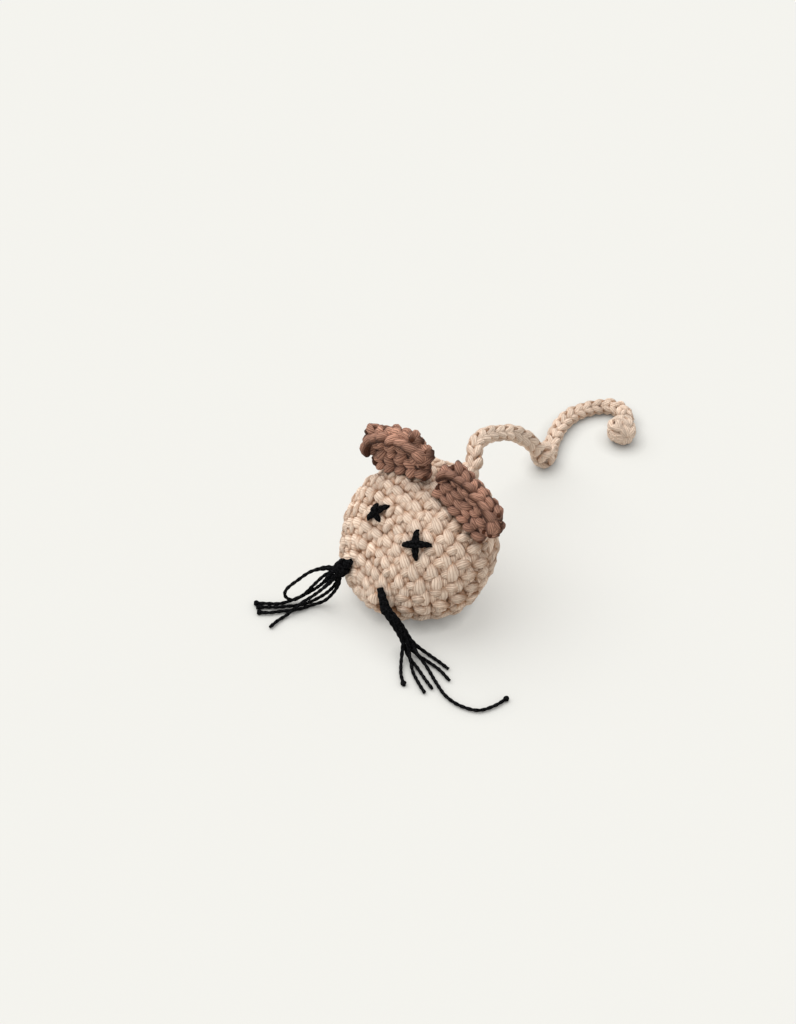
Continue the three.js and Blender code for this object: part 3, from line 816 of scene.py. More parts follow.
skinTree = BVHTree.FromPolygons(*skinMesh())


def bodyGap(point):
    # signed distance in mm from the smooth skin that the stitches stand on
    spot, normal, index, distance = skinTree.find_nearest(Vector(point) * mm)
    if normal.dot(spot - Vector(bodyHeart) * mm) < 0:
        normal = -normal
    side = 1 if (Vector(point) * mm - spot).dot(normal) > 0 else -1
    return side * distance / mm, np.array(spot) / mm, np.array(normal)


def onSkin(fraction, turn):
    # turn in whole rounds, fraction from nose to rump
    sides, steps = bodySkin.shape[:2]
    a, b = (turn % 1) * sides, min(max(fraction, 0), 1) * (steps - 1)
    i, j = int(a) % sides, min(int(b), steps - 2)
    u, v = a - int(a), b - j
    k = (i + 1) % sides
    low = bodySkin[i, j] * (1 - u) + bodySkin[k, j] * u
    high = bodySkin[i, j + 1] * (1 - u) + bodySkin[k, j + 1] * u
    return low * (1 - v) + high * v


def skinFrame(fraction, turn, step=0.03, swing=0.02, pole=0.004):
    before, after = max(fraction - step, pole), min(fraction + step, 1 - pole)
    grow = unit(onSkin(after, turn) - onSkin(before, turn))
    around = unit(onSkin(fraction, turn - swing) - onSkin(fraction, turn + swing))
    outward = unit(np.cross(around, grow))
    return grow, around, outward


def bodyStitches(spiralStart=0.02, loopLevel=0.52, parts=180):
    rounds, width, first = (bodyCrochet[key] for key in ("rounds", "stitchWidth", "firstRound"))
    rng = np.random.default_rng(bodyCrochet["seed"])
    turns = np.arange(parts + 1) / parts
    half = 0.5 / rounds
    marks = []
    start = 0.0
    for index in range(rounds):
        run = runOf(np.array([onSkin((index + loopLevel) / rounds, t) for t in turns]))
        count = first * max(1, int(round(run[-1] / width / first)))
        start += bodyCrochet["lean"]
        for stitch in range(count):
            share = ((stitch + start) / count) % 1
            turn = float(np.interp(share * run[-1], run, turns))
            climb = (index + spiralStart + turn) / rounds  # a spiral, one round rising into the next
            ahead, around, out = skinFrame(climb, turn)
            here = onSkin(climb, turn)
            here = here + (ahead * rng.normal() + around * rng.normal()) * bodyCrochet["stray"]
            rise = onSkin(min(climb + half, 1), turn) - onSkin(max(climb - half, 0), turn)
            pitch = np.clip(np.linalg.norm(rise) / bodyCrochet["stitchPitch"], *bodyCrochet["pitchRange"])
            size = (run[-1] / count / width, pitch, 1.0)
            marks.append((here - out * bodyCrochet["sink"], out, ahead, size))
    for level, count in bodyCrochet["rosettes"]:
        for turn in (np.arange(count) + bodyCrochet["rosetteTurn"]) / count:
            ahead, around, out = skinFrame(level, turn)
            here = onSkin(level, turn) - out * bodyCrochet["sink"]
            marks.append((here, out, ahead, bodyCrochet["rosetteSize"]))
    return marks


def bodyBacking(levels=34, sides=56, pole=0.02):
    sink = bodyCrochet["backingSink"]
    rings = []
    for level in np.linspace(pole, 1 - pole, levels):
        turns = np.arange(sides) / sides
        rings.append([onSkin(level, turn) - skinFrame(level, turn)[2] * sink for turn in turns])
    inward = np.array((0, sink / 2, 0))
    return backingMesh("bodyBacking", rings, (nosePole + inward, rumpPole - inward))


bodyMarks = bodyStitches()
bodyMesh = crochetMesh("body", bodyMarks, singleStitch, creamYarn, bodyCrochet, bodyBacking())
onFloor(bodyMesh)
crochetBody = newPiece("crochetBody", bodyMesh)
print("body:", len(bodyMarks), "stitches,", len(bodyMesh.polygons), "faces")

# Ears: cupped ovals of braids along both faces, with one braid over the rim
earCrochet = {
    "width": 31.0,  # mm
    "thick": 6.2,
    "cup": 1.2,
    "edge": 0.55,  # how round the oval's edge is
    "sink": 1.5,
    "backingSink": 1.0,
    "backingLevels": (0.12, 0.86),  # from the middle towards the rim
    # how light the backing's painted shade is, as a share of the lit crest colour
    "backingShade": 0.3,
    "clear": 1.6,  # least room over the body cover, for a stitch's middle
    "press": 0.7,  # and for any of its yarn
    "pitch": 3.6,
    "lobe": 0.8,  # length of a stitch against its width
    "rimInset": 1.8,
    "rimArc": (-4, 184),  # degrees
    "rimTilt": 1.35,
    "rimScale": 0.95,
    "endInset": 0.9,
    "braidRows": ((0.55, 0.4), (-0.02, 0.0), (-0.56, -0.2)),  # share of the half height, tilt to the rim
    "wobble": 0.22,
    "sizeDrift": 0.16,
    "seed": 9,
}
earSeats = {
    "left": {
        "foot": (15.939, 4.3, 41.955), "along": (0.94, 0.0378, -0.3392), "up": (0.2822, 0.4727, 0.8348),
        "rise": 7.0, "height": 16.2, "braid": 1.16,
    },
    "right": {
        "foot": (-11.355, 4.3, 43.649), "along": (0.9258, 0.1595, 0.3426), "up": (-0.3453, -0.0116, 0.9384),
        "rise": 8.1, "height": 18.8, "braid": 1.32,
    },
}
for seat in earSeats.values():
    for key in ("foot", "along", "up"):
        seat[key] = np.array(seat[key])
    seat["behind"] = np.cross(seat["up"], seat["along"])


def earPoint(ear, reach, turn, face):
    # face is -1 in front and 1 behind
    depth = math.sqrt(max(0.0, 1 - min(reach, 1.0) ** (2 / earCrochet["edge"])))
    x = earCrochet["width"] / 2 * math.cos(turn) * reach
    z = ear["height"] / 2 * math.sin(turn) * reach + ear["rise"]
    y = face * earCrochet["thick"] / 2 * depth + earCrochet["cup"] * (0.5 - reach * reach)
    return ear["foot"] + ear["along"] * x + ear["behind"] * y + ear["up"] * z


def earSpot(ear, x, z, face):
    # a place on one face, from distances along and up the ear, with that place's way to the rim
    wide, tall = earCrochet["width"] / 2, ear["height"] / 2
    reach, turn = math.hypot(x / wide, z / tall), math.atan2(z / tall, x / wide)
    rim = unit(ear["along"] * x / wide**2 + ear["up"] * z / tall**2)
    return earPoint(ear, reach, turn, face), rim


def earRow(ear, line, face, tilt, scale, reach=0.6):
    # stitches in a row along a line of places on one face
    places, rims = (np.array(part) for part in zip(*(earSpot(ear, x, z, face) for x, z in line)))
    run = runOf(places)
    count = max(1, int(round(run[-1] / (earCrochet["pitch"] * scale))))
    marks = []
    for stitch in range(count):
        travel = (stitch + 0.5) * run[-1] / count
        here, rim = alongLine(places, run, travel), alongLine(rims, run, travel)
        ahead = unit(alongLine(places, run, travel + reach) - alongLine(places, run, travel - reach))
        out = ear["behind"] * face * math.cos(tilt) + rim * math.sin(tilt)
        out = unit(out - ahead * np.dot(out, ahead))
        place = here - out * earCrochet["sink"] * scale
        gap, skin, normal = bodyGap(place)
        place = place + normal * max(0.0, earCrochet["clear"] - gap)
        marks.append((place, out, ahead, (scale, scale * earCrochet["lobe"], scale)))
    return marks


def earArc(ear, count=60):
    # a line inside the rim
    wide, tall = earCrochet["width"] / 2 - earCrochet["rimInset"], ear["height"] / 2 - earCrochet["rimInset"]
    turns = np.radians(np.linspace(*earCrochet["rimArc"], count))
    return [(wide * math.cos(turn), tall * math.sin(turn)) for turn in turns]


def earChord(ear, level, count=30):
    # a straight line along the ear, at a share of its half height
    span = earCrochet["width"] / 2 * math.sqrt(1 - level * level) - earCrochet["endInset"]
    return [(x, level * ear["height"] / 2) for x in np.linspace(-span, span, count)]


def earStitches(ear):
    marks = earRow(ear, earArc(ear), -1, earCrochet["rimTilt"], ear["braid"] * earCrochet["rimScale"])
    for face in (-1, 1):
        for level, tilt in earCrochet["braidRows"]:
            marks += earRow(ear, earChord(ear, level)[::face], face, tilt, ear["braid"])
    return marks


def clearOfBody(mesh, least):
    # yarn sewn against the cover is pressed out to its skin
    for vertex in mesh.vertices:
        gap, spot, normal = bodyGap(np.array(vertex.co) / mm)
        if gap < least:
            vertex.co = Vector((spot + normal * least) * mm)
    mesh.update()


def makeEar(side, sides=36, levels=8):
    ear = earSeats[side]
    inner = ear["behind"] * earCrochet["backingSink"]
    turns = np.arange(sides) / sides * 2 * math.pi
    steps = np.linspace(*earCrochet["backingLevels"], levels)
    rings = []
    for face in (-1, 1):
        for level in steps[::-face]:
            rings.append([earPoint(ear, level, turn, face) - inner * face for turn in turns])
    poles = [earPoint(ear, 0, 0, face) - inner * face for face in (-1, 1)]
    backing = backingMesh(f"{side}EarBacking", rings, poles, earCrochet["backingShade"])
    mesh = crochetMesh(f"{side}Ear", earStitches(ear), earStitch, taupeYarn, earCrochet, backing)
    clearOfBody(mesh, earCrochet["press"])
    return newPiece(f"{side}EarCrochet", mesh)


leftEarCrochet = makeEar("left")
rightEarCrochet = makeEar("right")
print("ears: braided on both faces, with rims")

# Tail: a chained cord over the route
tailCord = {
    "diameter": 4.7,  # mm
    "stitchLength": 3.6,
    "pitches": (  # place along the cord, and the stitch's length there
        (0, 3.8), (7, 4.4), (16, 6.4), (58, 6.6), (64, 3.6), (74, 3.4), (80, 4.4), (100, 3.7), (126, 3.6),
    ),
    "columns": 3,
    "start": (0.4, 0.5),  # in stitches: where the first column begins, and how far the others follow
    "facing": (0.56, -0.49, 0.67),  # the side that the braid's face lies to
    "sink": 1.25,
    "core": 1.5,
    "coreStep": 1.0,  # from point to point of the core's line
    "coreSpacing": 1.2,  # from ring to ring of its mesh
    "plump": (0.95, 0.4),  # a stitch's width, and how much of the cord's bulk it takes up
    "flare": (0.0, 5.0, 0.15),  # place along the cord, spread, added size
    "kink": (69.5, 4.4, 1.1),
    "wobble": 0.08,
    "sizeDrift": 0.06,
    "seed": 21,
    "route": [
        (-1.87, 26.1, 38.97), (-1.93, 26.97, 39.72), (-4.0, 29.2, 41.6), (-6.8, 32.0, 42.2),
        (-9.7, 38.3, 40.2), (-12.2, 46.2, 35.9), (-14.2, 55.2, 29.8), (-15.7, 63.4, 21.9),
        (-16.9, 70.4, 12.9), (-18.2, 75.6, 5.2), (-20.8, 80.6, 2.7), (-24.3, 86.1, 2.6),
        (-27.9, 92.9, 2.6), (-29.6, 99.4, 2.6), (-29.2, 105.2, 2.6), (-27.2, 110.6, 2.6),
        (-23.4, 114.7, 2.6), (-18.4, 115.4, 2.8), (-14.4, 112.8, 3.6), (-13.07, 110.67, 4.0),
    ],
}
tailLine = smoothPath(tailCord["route"])


def tailBulk(travel):
    # how much fuller the cord is at its root and at the kink
    bulk = 1
    for at, spread, add in (tailCord["flare"], tailCord["kink"]):
        bulk = bulk + add * np.exp(-(((travel - at) / spread) ** 2))
    return bulk


def tailStitches(step=0.25):
    line, even = evenLine(tailLine, step)
    ahead = unit(np.gradient(line, axis=0))
    facing = np.array(tailCord["facing"])
    aside = unit(facing - ahead * (ahead @ facing)[:, None])
    above = np.cross(ahead, aside)
    places, pitches = zip(*tailCord["pitches"])
    width, uptake = tailCord["plump"]
    start, follow = tailCord["start"]
    depth = tailCord["diameter"] / 2 - tailCord["sink"]
    marks = []
    for column in range(tailCord["columns"]):
        share = column / tailCord["columns"]
        turn = 2 * math.pi * share
        travel = pitches[0] * (start + follow * share)
        while travel < even[-1]:
            pitch = float(np.interp(travel, places, pitches))
            bulk = float(tailBulk(travel))
            plump = width * bulk**uptake
            index = min(int(travel / step), len(line) - 1)
            out = aside[index] * math.cos(turn) + above[index] * math.sin(turn)
            size = (plump, pitch / tailCord["stitchLength"], plump)
            marks.append((line[index] + out * depth * bulk, out, ahead[index], size))
            travel += pitch
    return marks


coreLine, coreRun = evenLine(tailLine, tailCord["coreStep"])
coreStrand = (coreLine, tailCord["core"] * tailBulk(coreRun))
coreForm = {"Ply Depth": 0.0, "Spacing": tailCord["coreSpacing"] * mm}
coreMesh = threadMesh("tailCore", [coreStrand], creamYarn, **coreForm)
tailCore = newHelper("tailCore", coreMesh)
tailMesh = crochetMesh("tail", tailStitches(), chainStitch, creamYarn, tailCord, tailCore)
onFloor(tailMesh)
crochetTail = newPiece("crochetTail", tailMesh)

# Bobble: rings of chain stitches at the tail's end
bobble = {
    "centre": (-10.4, 106.4, 4.8),  # mm
    "radius": 4.8,
    "facing": (0.9, -0.32, 0.13),
    "rings": ((1, 1), (34, 4), (72, 6), (112, 6), (155, 3)),  # degrees from the facing pole, stitches
    "ringShift": 80,  # degrees over which the rings turn by a stitch
    "size": (1.0, 1.12, 0.95),
    "sink": 1.1,
    "backingSink": 0.9,
    # how light the backing's painted shade is, as a share of the lit crest colour
    "backingShade": 0.5,
    "wobble": 0.15,
    "sizeDrift": 0.1,
    "seed": 5,
}


def bobbleStitches():
    pole = unit(bobble["facing"])
    side, over = acrossAxes(pole)
    marks = []
    for angle, count in bobble["rings"]:
        polar = math.radians(angle)
        for stitch in range(count):
            turn = 2 * math.pi * (stitch + angle / bobble["ringShift"]) / count
            ring = side * math.cos(turn) + over * math.sin(turn)
            out = pole * math.cos(polar) + ring * math.sin(polar)
            grow = unit(ring * math.cos(polar) - pole * math.sin(polar))
            place = np.array(bobble["centre"]) + out * (bobble["radius"] - bobble["sink"])
            marks.append((place, out, grow, bobble["size"]))
    return marks


def bobbleBacking(steps=10, sides=20):
    centre, radius = np.array(bobble["centre"]), bobble["radius"] - bobble["backingSink"]
    turns = np.arange(sides) / sides * 2 * math.pi
    rings = []
    for polar in math.pi * np.arange(1, steps) / steps:
        wide, high = radius * math.sin(polar), radius * math.cos(polar)
        rings.append([centre + (wide * math.cos(turn), wide * math.sin(turn), high) for turn in turns])
    poles = (centre + (0, 0, radius), centre - (0, 0, radius))
    return backingMesh("bobbleBacking", rings, poles, bobble["backingShade"])


bobbleMesh = crochetMesh("bobble", bobbleStitches(), chainStitch, creamYarn, bobble, bobbleBacking())
onFloor(bobbleMesh)
crochetBobble = newPiece("crochetBobble", bobbleMesh)
print("bobble:", len(bobbleMesh.polygons), "faces")

# Eyes: two crossing stitches of doubled thread
eyeThread = {
    "radius": 0.72,  # mm
    "thinned": (0.35, 4),  # share that is lost at the ends, and how suddenly
    "apart": 0.6,
    "closed": 0.8,  # share of the room between two threads that closes at the ends
    "lift": 0.9,
    "hop": 1.4,  # how far the second stitch climbs over the first
    "hopWidth": 2.2,
    "dive": (1.3, 6),  # how deep the ends go in, and how suddenly
    "steps": 25,
    "twist": 260.0,  # turns to a metre
}
eyeSeats = {
    "left": {
        "place": (11.974, -10.8, 35.381), "normal": (0.2285, -0.6867, 0.6901),
        "underLength": 10.0, "overLength": 10.0, "lean": (1.0, 1.0),
    },
    "right": {
        "place": (-7.44, -10.8, 36.493), "normal": (-0.1205, -0.6885, 0.7152),
        "underLength": 9.2, "overLength": 6.2, "lean": (0.85, 1.1),
    },
}


def makeEye(side, over):
    seat = {key: np.array(value) for key, value in eyeSeats[side].items()}
    normal = seat["normal"]
    around = unit((normal[2], 0, -normal[0]))
    back = np.cross(normal, around)
    lean = (1, 1) if over else seat["lean"] * (1, -1)
    run = unit(around * (1 if side == "left" else -1) * lean[0] + back * lean[1])
    across = np.cross(run, normal)
    reach = seat["overLength" if over else "underLength"] / 2
    (dive, diveEnd), (thinned, thinEnd) = eyeThread["dive"], eyeThread["thinned"]
    strands = []
    for offset in (-1, 1):
        line, radius = [], []
        for step in np.linspace(-1, 1, eyeThread["steps"]):
            apart = offset * eyeThread["apart"] * (1 - eyeThread["closed"] * step * step)
            gap, skin, outward = bodyGap(seat["place"] + run * step * reach + across * apart)
            rise = eyeThread["lift"] - dive * abs(step) ** diveEnd
            if over:
                rise += eyeThread["hop"] * math.exp(-((step * eyeThread["hopWidth"]) ** 2))
            line.append(skin + normal * rise)
            radius.append(eyeThread["radius"] * (1 - thinned * abs(step) ** thinEnd))
        strands.append((line, radius))
    name = f"{side}Eye{'Over' if over else 'Under'}"
    return newPiece(name, threadMesh(name, strands, blackThread, Twist=eyeThread["twist"]))


eyePieces = {(side, over): makeEye(side, over) for side in ("left", "right") for over in (False, True)}
print("eyes stitched")

# Whiskers: loose threads from a knot on each cheek
whiskerThread = {
    "radius": 0.58,  # mm
    "diameter": 1.3,
    "packing": 0.34,  # how much fatter the threads are where they lie packed together
    "packedTo": {"left": 15.0, "right": 5.5},
    "packedEnd": 4,  # how suddenly the packing ends
    "gather": {"left": 0.45, "right": 0.0},  # how much closer the threads lie there
    "endKnot": (0.9, 0.7, 0.4),  # place before the end, spread, added radius
    "knotted": (
        "left_whisker_1", "left_whisker_4", "right_whisker_1", "right_whisker_2", "right_whisker_4",
    ),
}
whiskerRoutes = {
    "left_whisker_1": [
        (12.69, -26.97, 15.92), (16.97, -26.26, 13.2), (20.77, -24.96, 7.5), (22.4, -26.4, 2.6),
        (25.2, -29, 0.95), (28.6, -31.8, 0.95), (32.6, -34, 0.95),
    ],
    "left_whisker_2": [
        (13.86, -26.5, 17.13), (17.86, -25.03, 14.07), (21.66, -23.73, 8.37), (25.6, -25.4, 3),
        (29.6, -27.6, 0.95), (34.8, -29.7, 0.95), (39.6, -31.2, 0.95),
    ],
    "left_whisker_3": [
        (12.18, -25.82, 14.71), (15.51, -25.83, 12.33), (19.31, -24.53, 6.63), (23.4, -24.2, 1.2),
        (29.4, -25.4, 0.95), (34.8, -26.9, 0.95), (39.8, -28.1, 0.95),
    ],
    "left_whisker_4": [
        (14.52, -24.88, 17.13), (17.29, -23.37, 14.07), (21.09, -22.07, 8.37), (26.4, -22.9, 4),
        (31.6, -22.9, 0.95), (38.4, -25.2, 0.95), (45.4, -27, 0.95), (51.8, -26.4, 0.95),
        (57.3, -23.3, 0.95), (59.2, -17.8, 0.95), (59.3, -12.1, 0.95),
    ],
    "left_whisker_5": [
        (12.83, -24.2, 14.71), (14.94, -24.17, 12.33), (18.74, -22.87, 6.63), (23.8, -21.4, 1.2),
        (29.2, -20.8, 0.95), (34.8, -20.5, 0.95), (40.7, -21.3, 0.95),
    ],
    "left_whisker_6": [
        (14.01, -23.73, 15.92), (15.83, -22.94, 13.2), (19.63, -21.64, 7.5), (22.8, -19.9, 3.2),
        (26.8, -18.4, 0.95), (32, -18.1, 0.95), (36.4, -18, 0.95),
    ],
    "right_whisker_1": [
        (-11.39, -27.52, 17.07), (-14, -29, 11.5), (-17.9, -30.3, 6), (-20.9, -33.2, 2.6),
        (-23.3, -37.8, 0.95), (-24.4, -40.4, 0.95), (-27.1, -43.4, 0.95), (-30.2, -46.6, 0.95),
    ],
    "right_whisker_2": [
        (-9.76, -26.02, 15.01), (-10.5, -26.2, 10.4), (-12.2, -27, 6), (-14.2, -29.2, 2.5),
        (-16.7, -32.8, 0.95), (-17.5, -36, 0.95), (-19.2, -39.4, 0.95), (-21.3, -42.6, 0.95),
        (-23.2, -45.7, 0.95), (-26.1, -48.6, 0.95),
    ],
    "right_whisker_3": [
        (-9.98, -27.41, 16.04), (-12.3, -29.8, 11.2), (-14.9, -32.9, 7), (-17.3, -36.8, 3.8),
        (-18.4, -42.3, 0.95), (-18.3, -45.9, 0.95), (-17.6, -49.9, 0.95),
    ],
    "right_whisker_4": [
        (-10.95, -24.73, 15.01), (-11.9, -25.4, 10.4), (-13.9, -26.9, 6.2), (-16.4, -29, 2.7),
        (-18.4, -33.1, 0.95), (-19.6, -36, 0.95), (-21.4, -38.9, 0.95), (-23.1, -41.4, 0.95),
        (-25.5, -44.3, 0.95), (-28.2, -47.3, 0.95),
    ],
    "right_whisker_loop": [
        (-12.58, -26.23, 17.07), (-15.3, -27.4, 15.9), (-19, -30.7, 13.6), (-20.8, -34.8, 11),
        (-22.1, -38.6, 8.4), (-22.4, -39.4, 6.4), (-22.2, -39, 4.6), (-21.5, -37.7, 3.2),
        (-20.6, -35.9, 3), (-19.3, -33.2, 4.8), (-17.6, -31, 8.3), (-15.9, -27.4, 12),
        (-12.35, -24.84, 16.04),
    ],
}


def bunchMiddle(side, run):
    # the middle of a bunch, at distances along its threads
    lines = [smoothPath(route) for node, route in whiskerRoutes.items() if node.startswith(side)]
    return np.mean([alongLine(line, runOf(line), run) for line in lines], axis=0)


def makeWhisker(node):
    side = node.split("_")[0]
    line = smoothPath(whiskerRoutes[node])
    run = runOf(line)
    packed = np.exp(-((run / whiskerThread["packedTo"][side]) ** whiskerThread["packedEnd"]))
    line = line + (bunchMiddle(side, run) - line) * (packed * whiskerThread["gather"][side])[:, None]
    radius = whiskerThread["radius"] + packed * whiskerThread["packing"]
    if node in whiskerThread["knotted"]:
        place, spread, add = whiskerThread["endKnot"]
        radius = radius + add * np.exp(-(((run[-1] - run - place) / spread) ** 2))
    mesh = threadMesh(node, [(line, radius)], blackThread)
    onFloor(mesh)
    return newPiece(node.replace("_", "") + "Thread", mesh), line


whiskers = {node: makeWhisker(node) for node in whiskerRoutes}
print("whiskers:", len(whiskers), "threads")

# Whisker knots: strands that fan out of the cover, wrapped on the mouse's right
whiskerKnots = {
    "left": {
        "seat": (9.756, -23.892, 18.832), "exit": (0.7409, -0.3004, -0.6007),  # mm
        "ring": 1.05, "twist": 2.6, "wraps": 0,
    },
    "right": {
        "seat": (-8.737, -23.888, 19.591), "exit": (-0.5014, -0.4613, -0.732),
        "ring": 1.7, "twist": 0.0, "wraps": 3,
    },
}
knotStrands = {
    "count": 6,
    "steps": 12,
    "from": -2.6,  # mm, under the seat
    "length": 8.4,
    "ring": 0.4,
    "fan": 0.7,  # how soon the ring opens
    "radius": (0.6, 0.85),
}
knotWrap = {"steps": 60, "from": 0.3, "length": 3.2, "ring": 2.1, "radius": 0.72}  # mm


def makeKnot(side):
    knot = whiskerKnots[side]
    seat, way = np.array(knot["seat"]), unit(knot["exit"])
    level, over = acrossAxes(way)

    def knotPoint(look, t, turn, ring):
        centre = seat + way * (look["from"] + look["length"] * t)
        return centre + (level * math.cos(turn) + over * math.sin(turn)) * ring

    strands = []
    for strand in range(knotStrands["count"]):
        turn = 2 * math.pi * strand / knotStrands["count"]
        line = []
        for t in np.linspace(0, 1, knotStrands["steps"]):
            ring = knotStrands["ring"] + (knot["ring"] - knotStrands["ring"]) * t ** knotStrands["fan"]
            line.append(knotPoint(knotStrands, t, turn + knot["twist"] * t, ring))
        strands.append((line, np.linspace(*knotStrands["radius"], knotStrands["steps"])))
    if knot["wraps"]:
        steps = np.linspace(0, 1, knotWrap["steps"])
        line = [knotPoint(knotWrap, t, 2 * math.pi * knot["wraps"] * t, knotWrap["ring"]) for t in steps]
        strands.append((line, knotWrap["radius"]))
    name = f"{side}WhiskerKnot"
    return newPiece(name, threadMesh(name, strands, blackThread))


knots = {side: makeKnot(side) for side in whiskerKnots}
print("knots tied")

# Sewing yarn at the foot of each ear
earSewing = {"radius": 0.6, "reach": 10, "lift": 0.9, "steps": 21}  # mm, and the points along it


def sewEar(side):
    ear = earSeats[side]
    line = []
    for step in np.linspace(-earSewing["reach"], earSewing["reach"], earSewing["steps"]):
        gap, skin, normal = bodyGap(ear["foot"] + ear["along"] * step)
        line.append(skin + normal * earSewing["lift"])
    name = f"{side}EarSewing"
    return newPiece(name, threadMesh(name, [(line, earSewing["radius"])], taupeYarn))


earSeams = {side: sewEar(side) for side in earSeats}


def nodeMiddle(node):
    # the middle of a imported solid, in mm
    low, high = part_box(node)
    return np.array((low + high) / 2) / mm


# A collar of strands that spreads the tail's root over the rump
tailCollar = {
    "axis": (-0.0473, 0.7562, 0.6526),
    "strands": 9,
    "ring": 2.4,  # mm
    "sink": 0.6,
    "lean": 0.55,
    "size": (0.85, 0.55, 0.8),
    "wobble": 0.15,
    "sizeDrift": 0.1,
    "seed": 8,
}


def collarStitches():
    axis = unit(tailCollar["axis"])
    centre = nodeMiddle("tail_seam")
    side = unit(np.cross(axis, (1, 0, 0)))
    over = np.cross(axis, side)
    marks = []
    for strand in range(tailCollar["strands"]):
        turn = 2 * math.pi * strand / tailCollar["strands"]
        ring = side * math.cos(turn) + over * math.sin(turn)
        grow = unit(axis - ring * tailCollar["lean"])
        out = unit(ring + axis * tailCollar["lean"])
        place = centre + ring * tailCollar["ring"] - out * tailCollar["sink"]
        marks.append((place, out, grow, tailCollar["size"]))
    return marks


collarMesh = crochetMesh("collar", collarStitches(), longStitch, creamYarn, tailCollar)
tailSewing = newPiece("tailSewing", collarMesh)
# The last round is drawn shut by a ring of gathered yarn
rumpGather = {
    "strands": 5,
    "ring": 1.3,  # mm
    "sink": 0.5,
    "lean": 0.4,
    "size": (0.62, 0.3, 0.6),
    "wobble": 0.1,
    "sizeDrift": 0.05,
    "seed": 3,
}


def closingStitches():
    centre, axis = nodeMiddle("closing_yarn"), np.array((0.0, 1.0, 0.0))
    marks = []
    for turn in np.arange(rumpGather["strands"]) * 2 * math.pi / rumpGather["strands"]:
        ring = np.array((math.cos(turn), 0, math.sin(turn)))
        out = unit(axis + ring * rumpGather["lean"])
        place = centre + ring * rumpGather["ring"] - out * rumpGather["sink"]
        marks.append((place, out, np.cross(axis, ring), rumpGather["size"]))
    return marks


closingMesh = crochetMesh("closing", closingStitches(), longStitch, creamYarn, rumpGather)
rumpClosing = newPiece("rumpClosing", closingMesh)
print("sewing done")

for helper in helpers:
    bpy.data.objects.remove(helper)

# Filling, sachet, tie and herb stay as packed, shut in by the cover
fillings = {
    "fibre_stuffing": {
        "finish": "fibreFilling", "dark": (0.74, 0.73, 0.70, 1), "light": (0.88, 0.87, 0.85, 1),
        "grain": 3.0, "patch": 8.0, "depth": 0.6,  # patch and depth in mm
    },
    "catnip_sachet": {
        "finish": "muslinCloth", "dark": (0.62, 0.55, 0.43, 1), "light": (0.78, 0.71, 0.58, 1),
        "grain": 1.2, "patch": 5.0, "depth": 0.2,
    },
    "sachet_tie": {
        "finish": "tieCotton", "dark": (0.66, 0.60, 0.50, 1), "light": (0.82, 0.77, 0.68, 1),
        "grain": 0.8, "patch": 2.0, "depth": 0.15,
    },
    "catnip_herb": {
        "finish": "driedHerb", "dark": (0.07, 0.09, 0.025, 1), "light": (0.27, 0.29, 0.10, 1),
        "grain": 4.0, "patch": 2.0, "depth": 0.8,
    },
}
fillingSurface = {"patchShare": 0.5, "bump": 0.8, "roughness": 0.9, "specular": 0.2}


def fillingFinish(look):
    material, tree, shader = newMaterial(look["finish"])
    fuzz = useGroup(tree, fuzzGroup, Size=look["grain"], Patch_Size=look["patch"])
    share = sums(tree, "MULTIPLY", fuzz["Height"], 1 - fillingSurface["patchShare"])
    share = sums(tree, "MULTIPLY_ADD", fuzz["Patch"], fillingSurface["patchShare"], share)
    tree.links.new(blendColour(tree, share, look["dark"], look["light"]), shader.inputs["Base Color"])
    addBump(tree, shader, fuzz["Height"], fillingSurface["bump"], look["depth"])
    setShader(shader, Roughness=fillingSurface["roughness"], Specular_IOR_Level=fillingSurface["specular"])
    return material


for node, look in fillings.items():
    solid = frame["nodes"][node].data
    solid.materials.clear()
    solid.materials.append(fillingFinish(look))
print("inner pieces finished")


# Stage: a pale floor and backdrop, and soft light from the upper left and above
def seenShare(tree):
    # 1 for the rays that show the backdrop, and 0 for those that only light
    path = tree.nodes.new("ShaderNodeLightPath").outputs
    mirrored = sums(tree, "MAXIMUM", path["Is Camera Ray"], path["Is Glossy Ray"])
    return sums(tree, "MAXIMUM", mirrored, path["Is Transmission Ray"])


def mixShaders(tree, *sockets):
    node = tree.nodes.new("ShaderNodeMixShader")
    for index, socket in enumerate(sockets):
        tree.links.new(socket, node.inputs[index])
    return node.outputs[0]


floorLook = {
    "shades": ((0.700, 0.696, 0.661, 1), (0.708, 0.704, 0.669, 1)),
    "grain": 2.0,
    "patch": 60.0,  # mm
    "roughness": 0.95,
    "glow": (0.893, 0.885, 0.845, 1),
    "glowShare": 0.5,  # how much of its look is its own glow, which lightens the shadow
    "contact": 6.0,  # mm, reach of the painted contact shadow close under the yarn
    "contactSamples": 8,
    "half": 3.0,  # m
}
floorMaterial, floorTree, floorShader = newMaterial("paleFloor")
paper = useGroup(floorTree, fuzzGroup, Size=floorLook["grain"], Patch_Size=floorLook["patch"])
floorColour = blendColour(floorTree, paper["Patch"], *floorLook["shades"])
floorTree.links.new(floorColour, floorShader.inputs["Base Color"])
setShader(floorShader, Roughness=floorLook["roughness"], Specular_IOR_Level=0.0)
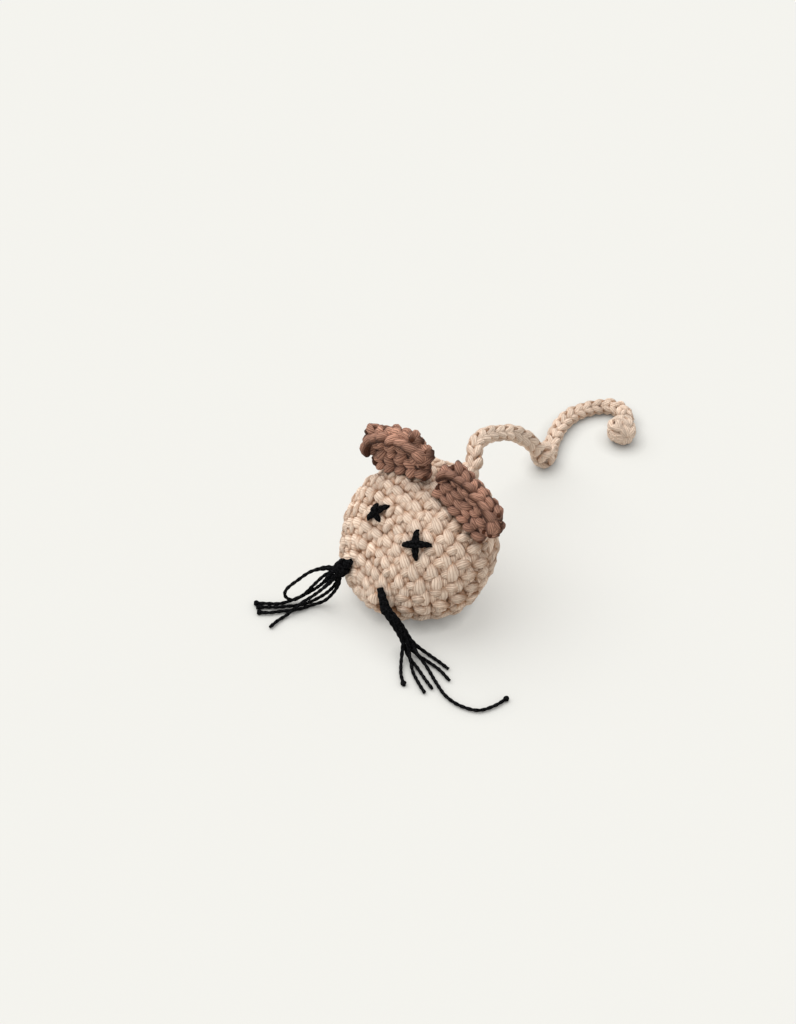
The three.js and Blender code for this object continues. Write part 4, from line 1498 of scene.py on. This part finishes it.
# the floor's glow is darkened close under the yarn by ambient occlusion: a painted contact shadow
floorContactShadow = addNode(floorTree, "ShaderNodeAmbientOcclusion", {"samples": floorLook["contactSamples"]},
                    Color=floorLook["glow"], Distance=floorLook["contact"] * mm)
floorGlow = addNode(floorTree, "ShaderNodeEmission", Color=floorContactShadow.outputs["Color"], Strength=1.0)
floorShare = sums(floorTree, "MULTIPLY", seenShare(floorTree), floorLook["glowShare"])
floorSurface = mixShaders(floorTree, floorShare, floorShader.outputs[0], floorGlow.outputs[0])
floorOutput = next(node for node in floorTree.nodes if node.type == "OUTPUT_MATERIAL")
floorTree.links.new(floorSurface, floorOutput.inputs[0])
floorMesh = bpy.data.meshes.new("floor")
half = floorLook["half"]
floorCorners = [(-half, -half, 0), (half, -half, 0), (half, half, 0), (-half, half, 0)]
floorMesh.from_pydata(floorCorners, [], [(0, 1, 2, 3)])
floorMesh.materials.append(floorMaterial)
floor = bpy.data.objects.new("floor", floorMesh)
scene.collection.objects.link(floor)

studio = {
    "sun": 2.68,
    "sunFrom": (-0.41, -0.12, 0.91),
    "sunSpread": 70,  # degrees
    "world": 0.54,
    "glow": (1, 0.995, 0.985, 1),
    "backdrop": (0.896, 0.888, 0.84, 1),
}
sunData = bpy.data.lights.new("softWindow", "SUN")
sunData.energy = studio["sun"]
sunData.angle = math.radians(studio["sunSpread"])
sun = bpy.data.objects.new("softWindow", sunData)
sun.matrix_world = Vector(studio["sunFrom"]).to_track_quat("Z", "Y").to_matrix().to_4x4()
scene.collection.objects.link(sun)
world = bpy.data.worlds.new("studio")
scene.world = world
world.use_nodes = True
sky = world.node_tree
sky.nodes.clear()
glow = addNode(sky, "ShaderNodeBackground", Color=studio["glow"], Strength=studio["world"])
backdrop = addNode(sky, "ShaderNodeBackground", Color=studio["backdrop"], Strength=1.0)
shown = mixShaders(sky, seenShare(sky), glow.outputs[0], backdrop.outputs[0])
sky.links.new(shown, sky.nodes.new("ShaderNodeOutputWorld").inputs[0])
print("stage lit")

# What each piece stands for and moves with
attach(crochetBody, "body")
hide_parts("body_cover")
for side, piece in (("left", leftEarCrochet), ("right", rightEarCrochet)):
    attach(piece, f"{side}_ear")
    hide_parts(f"{side}_ear")
    seam = earSeams[side]
    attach(seam, "body")
    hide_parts(f"{side}_ear_seam")
    knot = knots[side]
    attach(knot, "body")
    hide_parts(f"{side}_whisker_knot")
    for over in (False, True):
        eye = eyePieces[side, over]
        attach(eye, "body")
        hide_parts(f"{side}_eye_{'over' if over else 'under'}_stitch")
for piece, node in ((tailSewing, "tail_seam"), (rumpClosing, "closing_yarn")):
    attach(piece, "body")
    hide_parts(node)
for node, (piece, line) in whiskers.items():
    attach(piece, f"{node.split('_')[0]}_whiskers")
    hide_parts(node)
for piece, node in ((crochetTail, "tail_cord"), (crochetBobble, "tail_tip_bobble")):
    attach(piece, "tail")
    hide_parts(node)
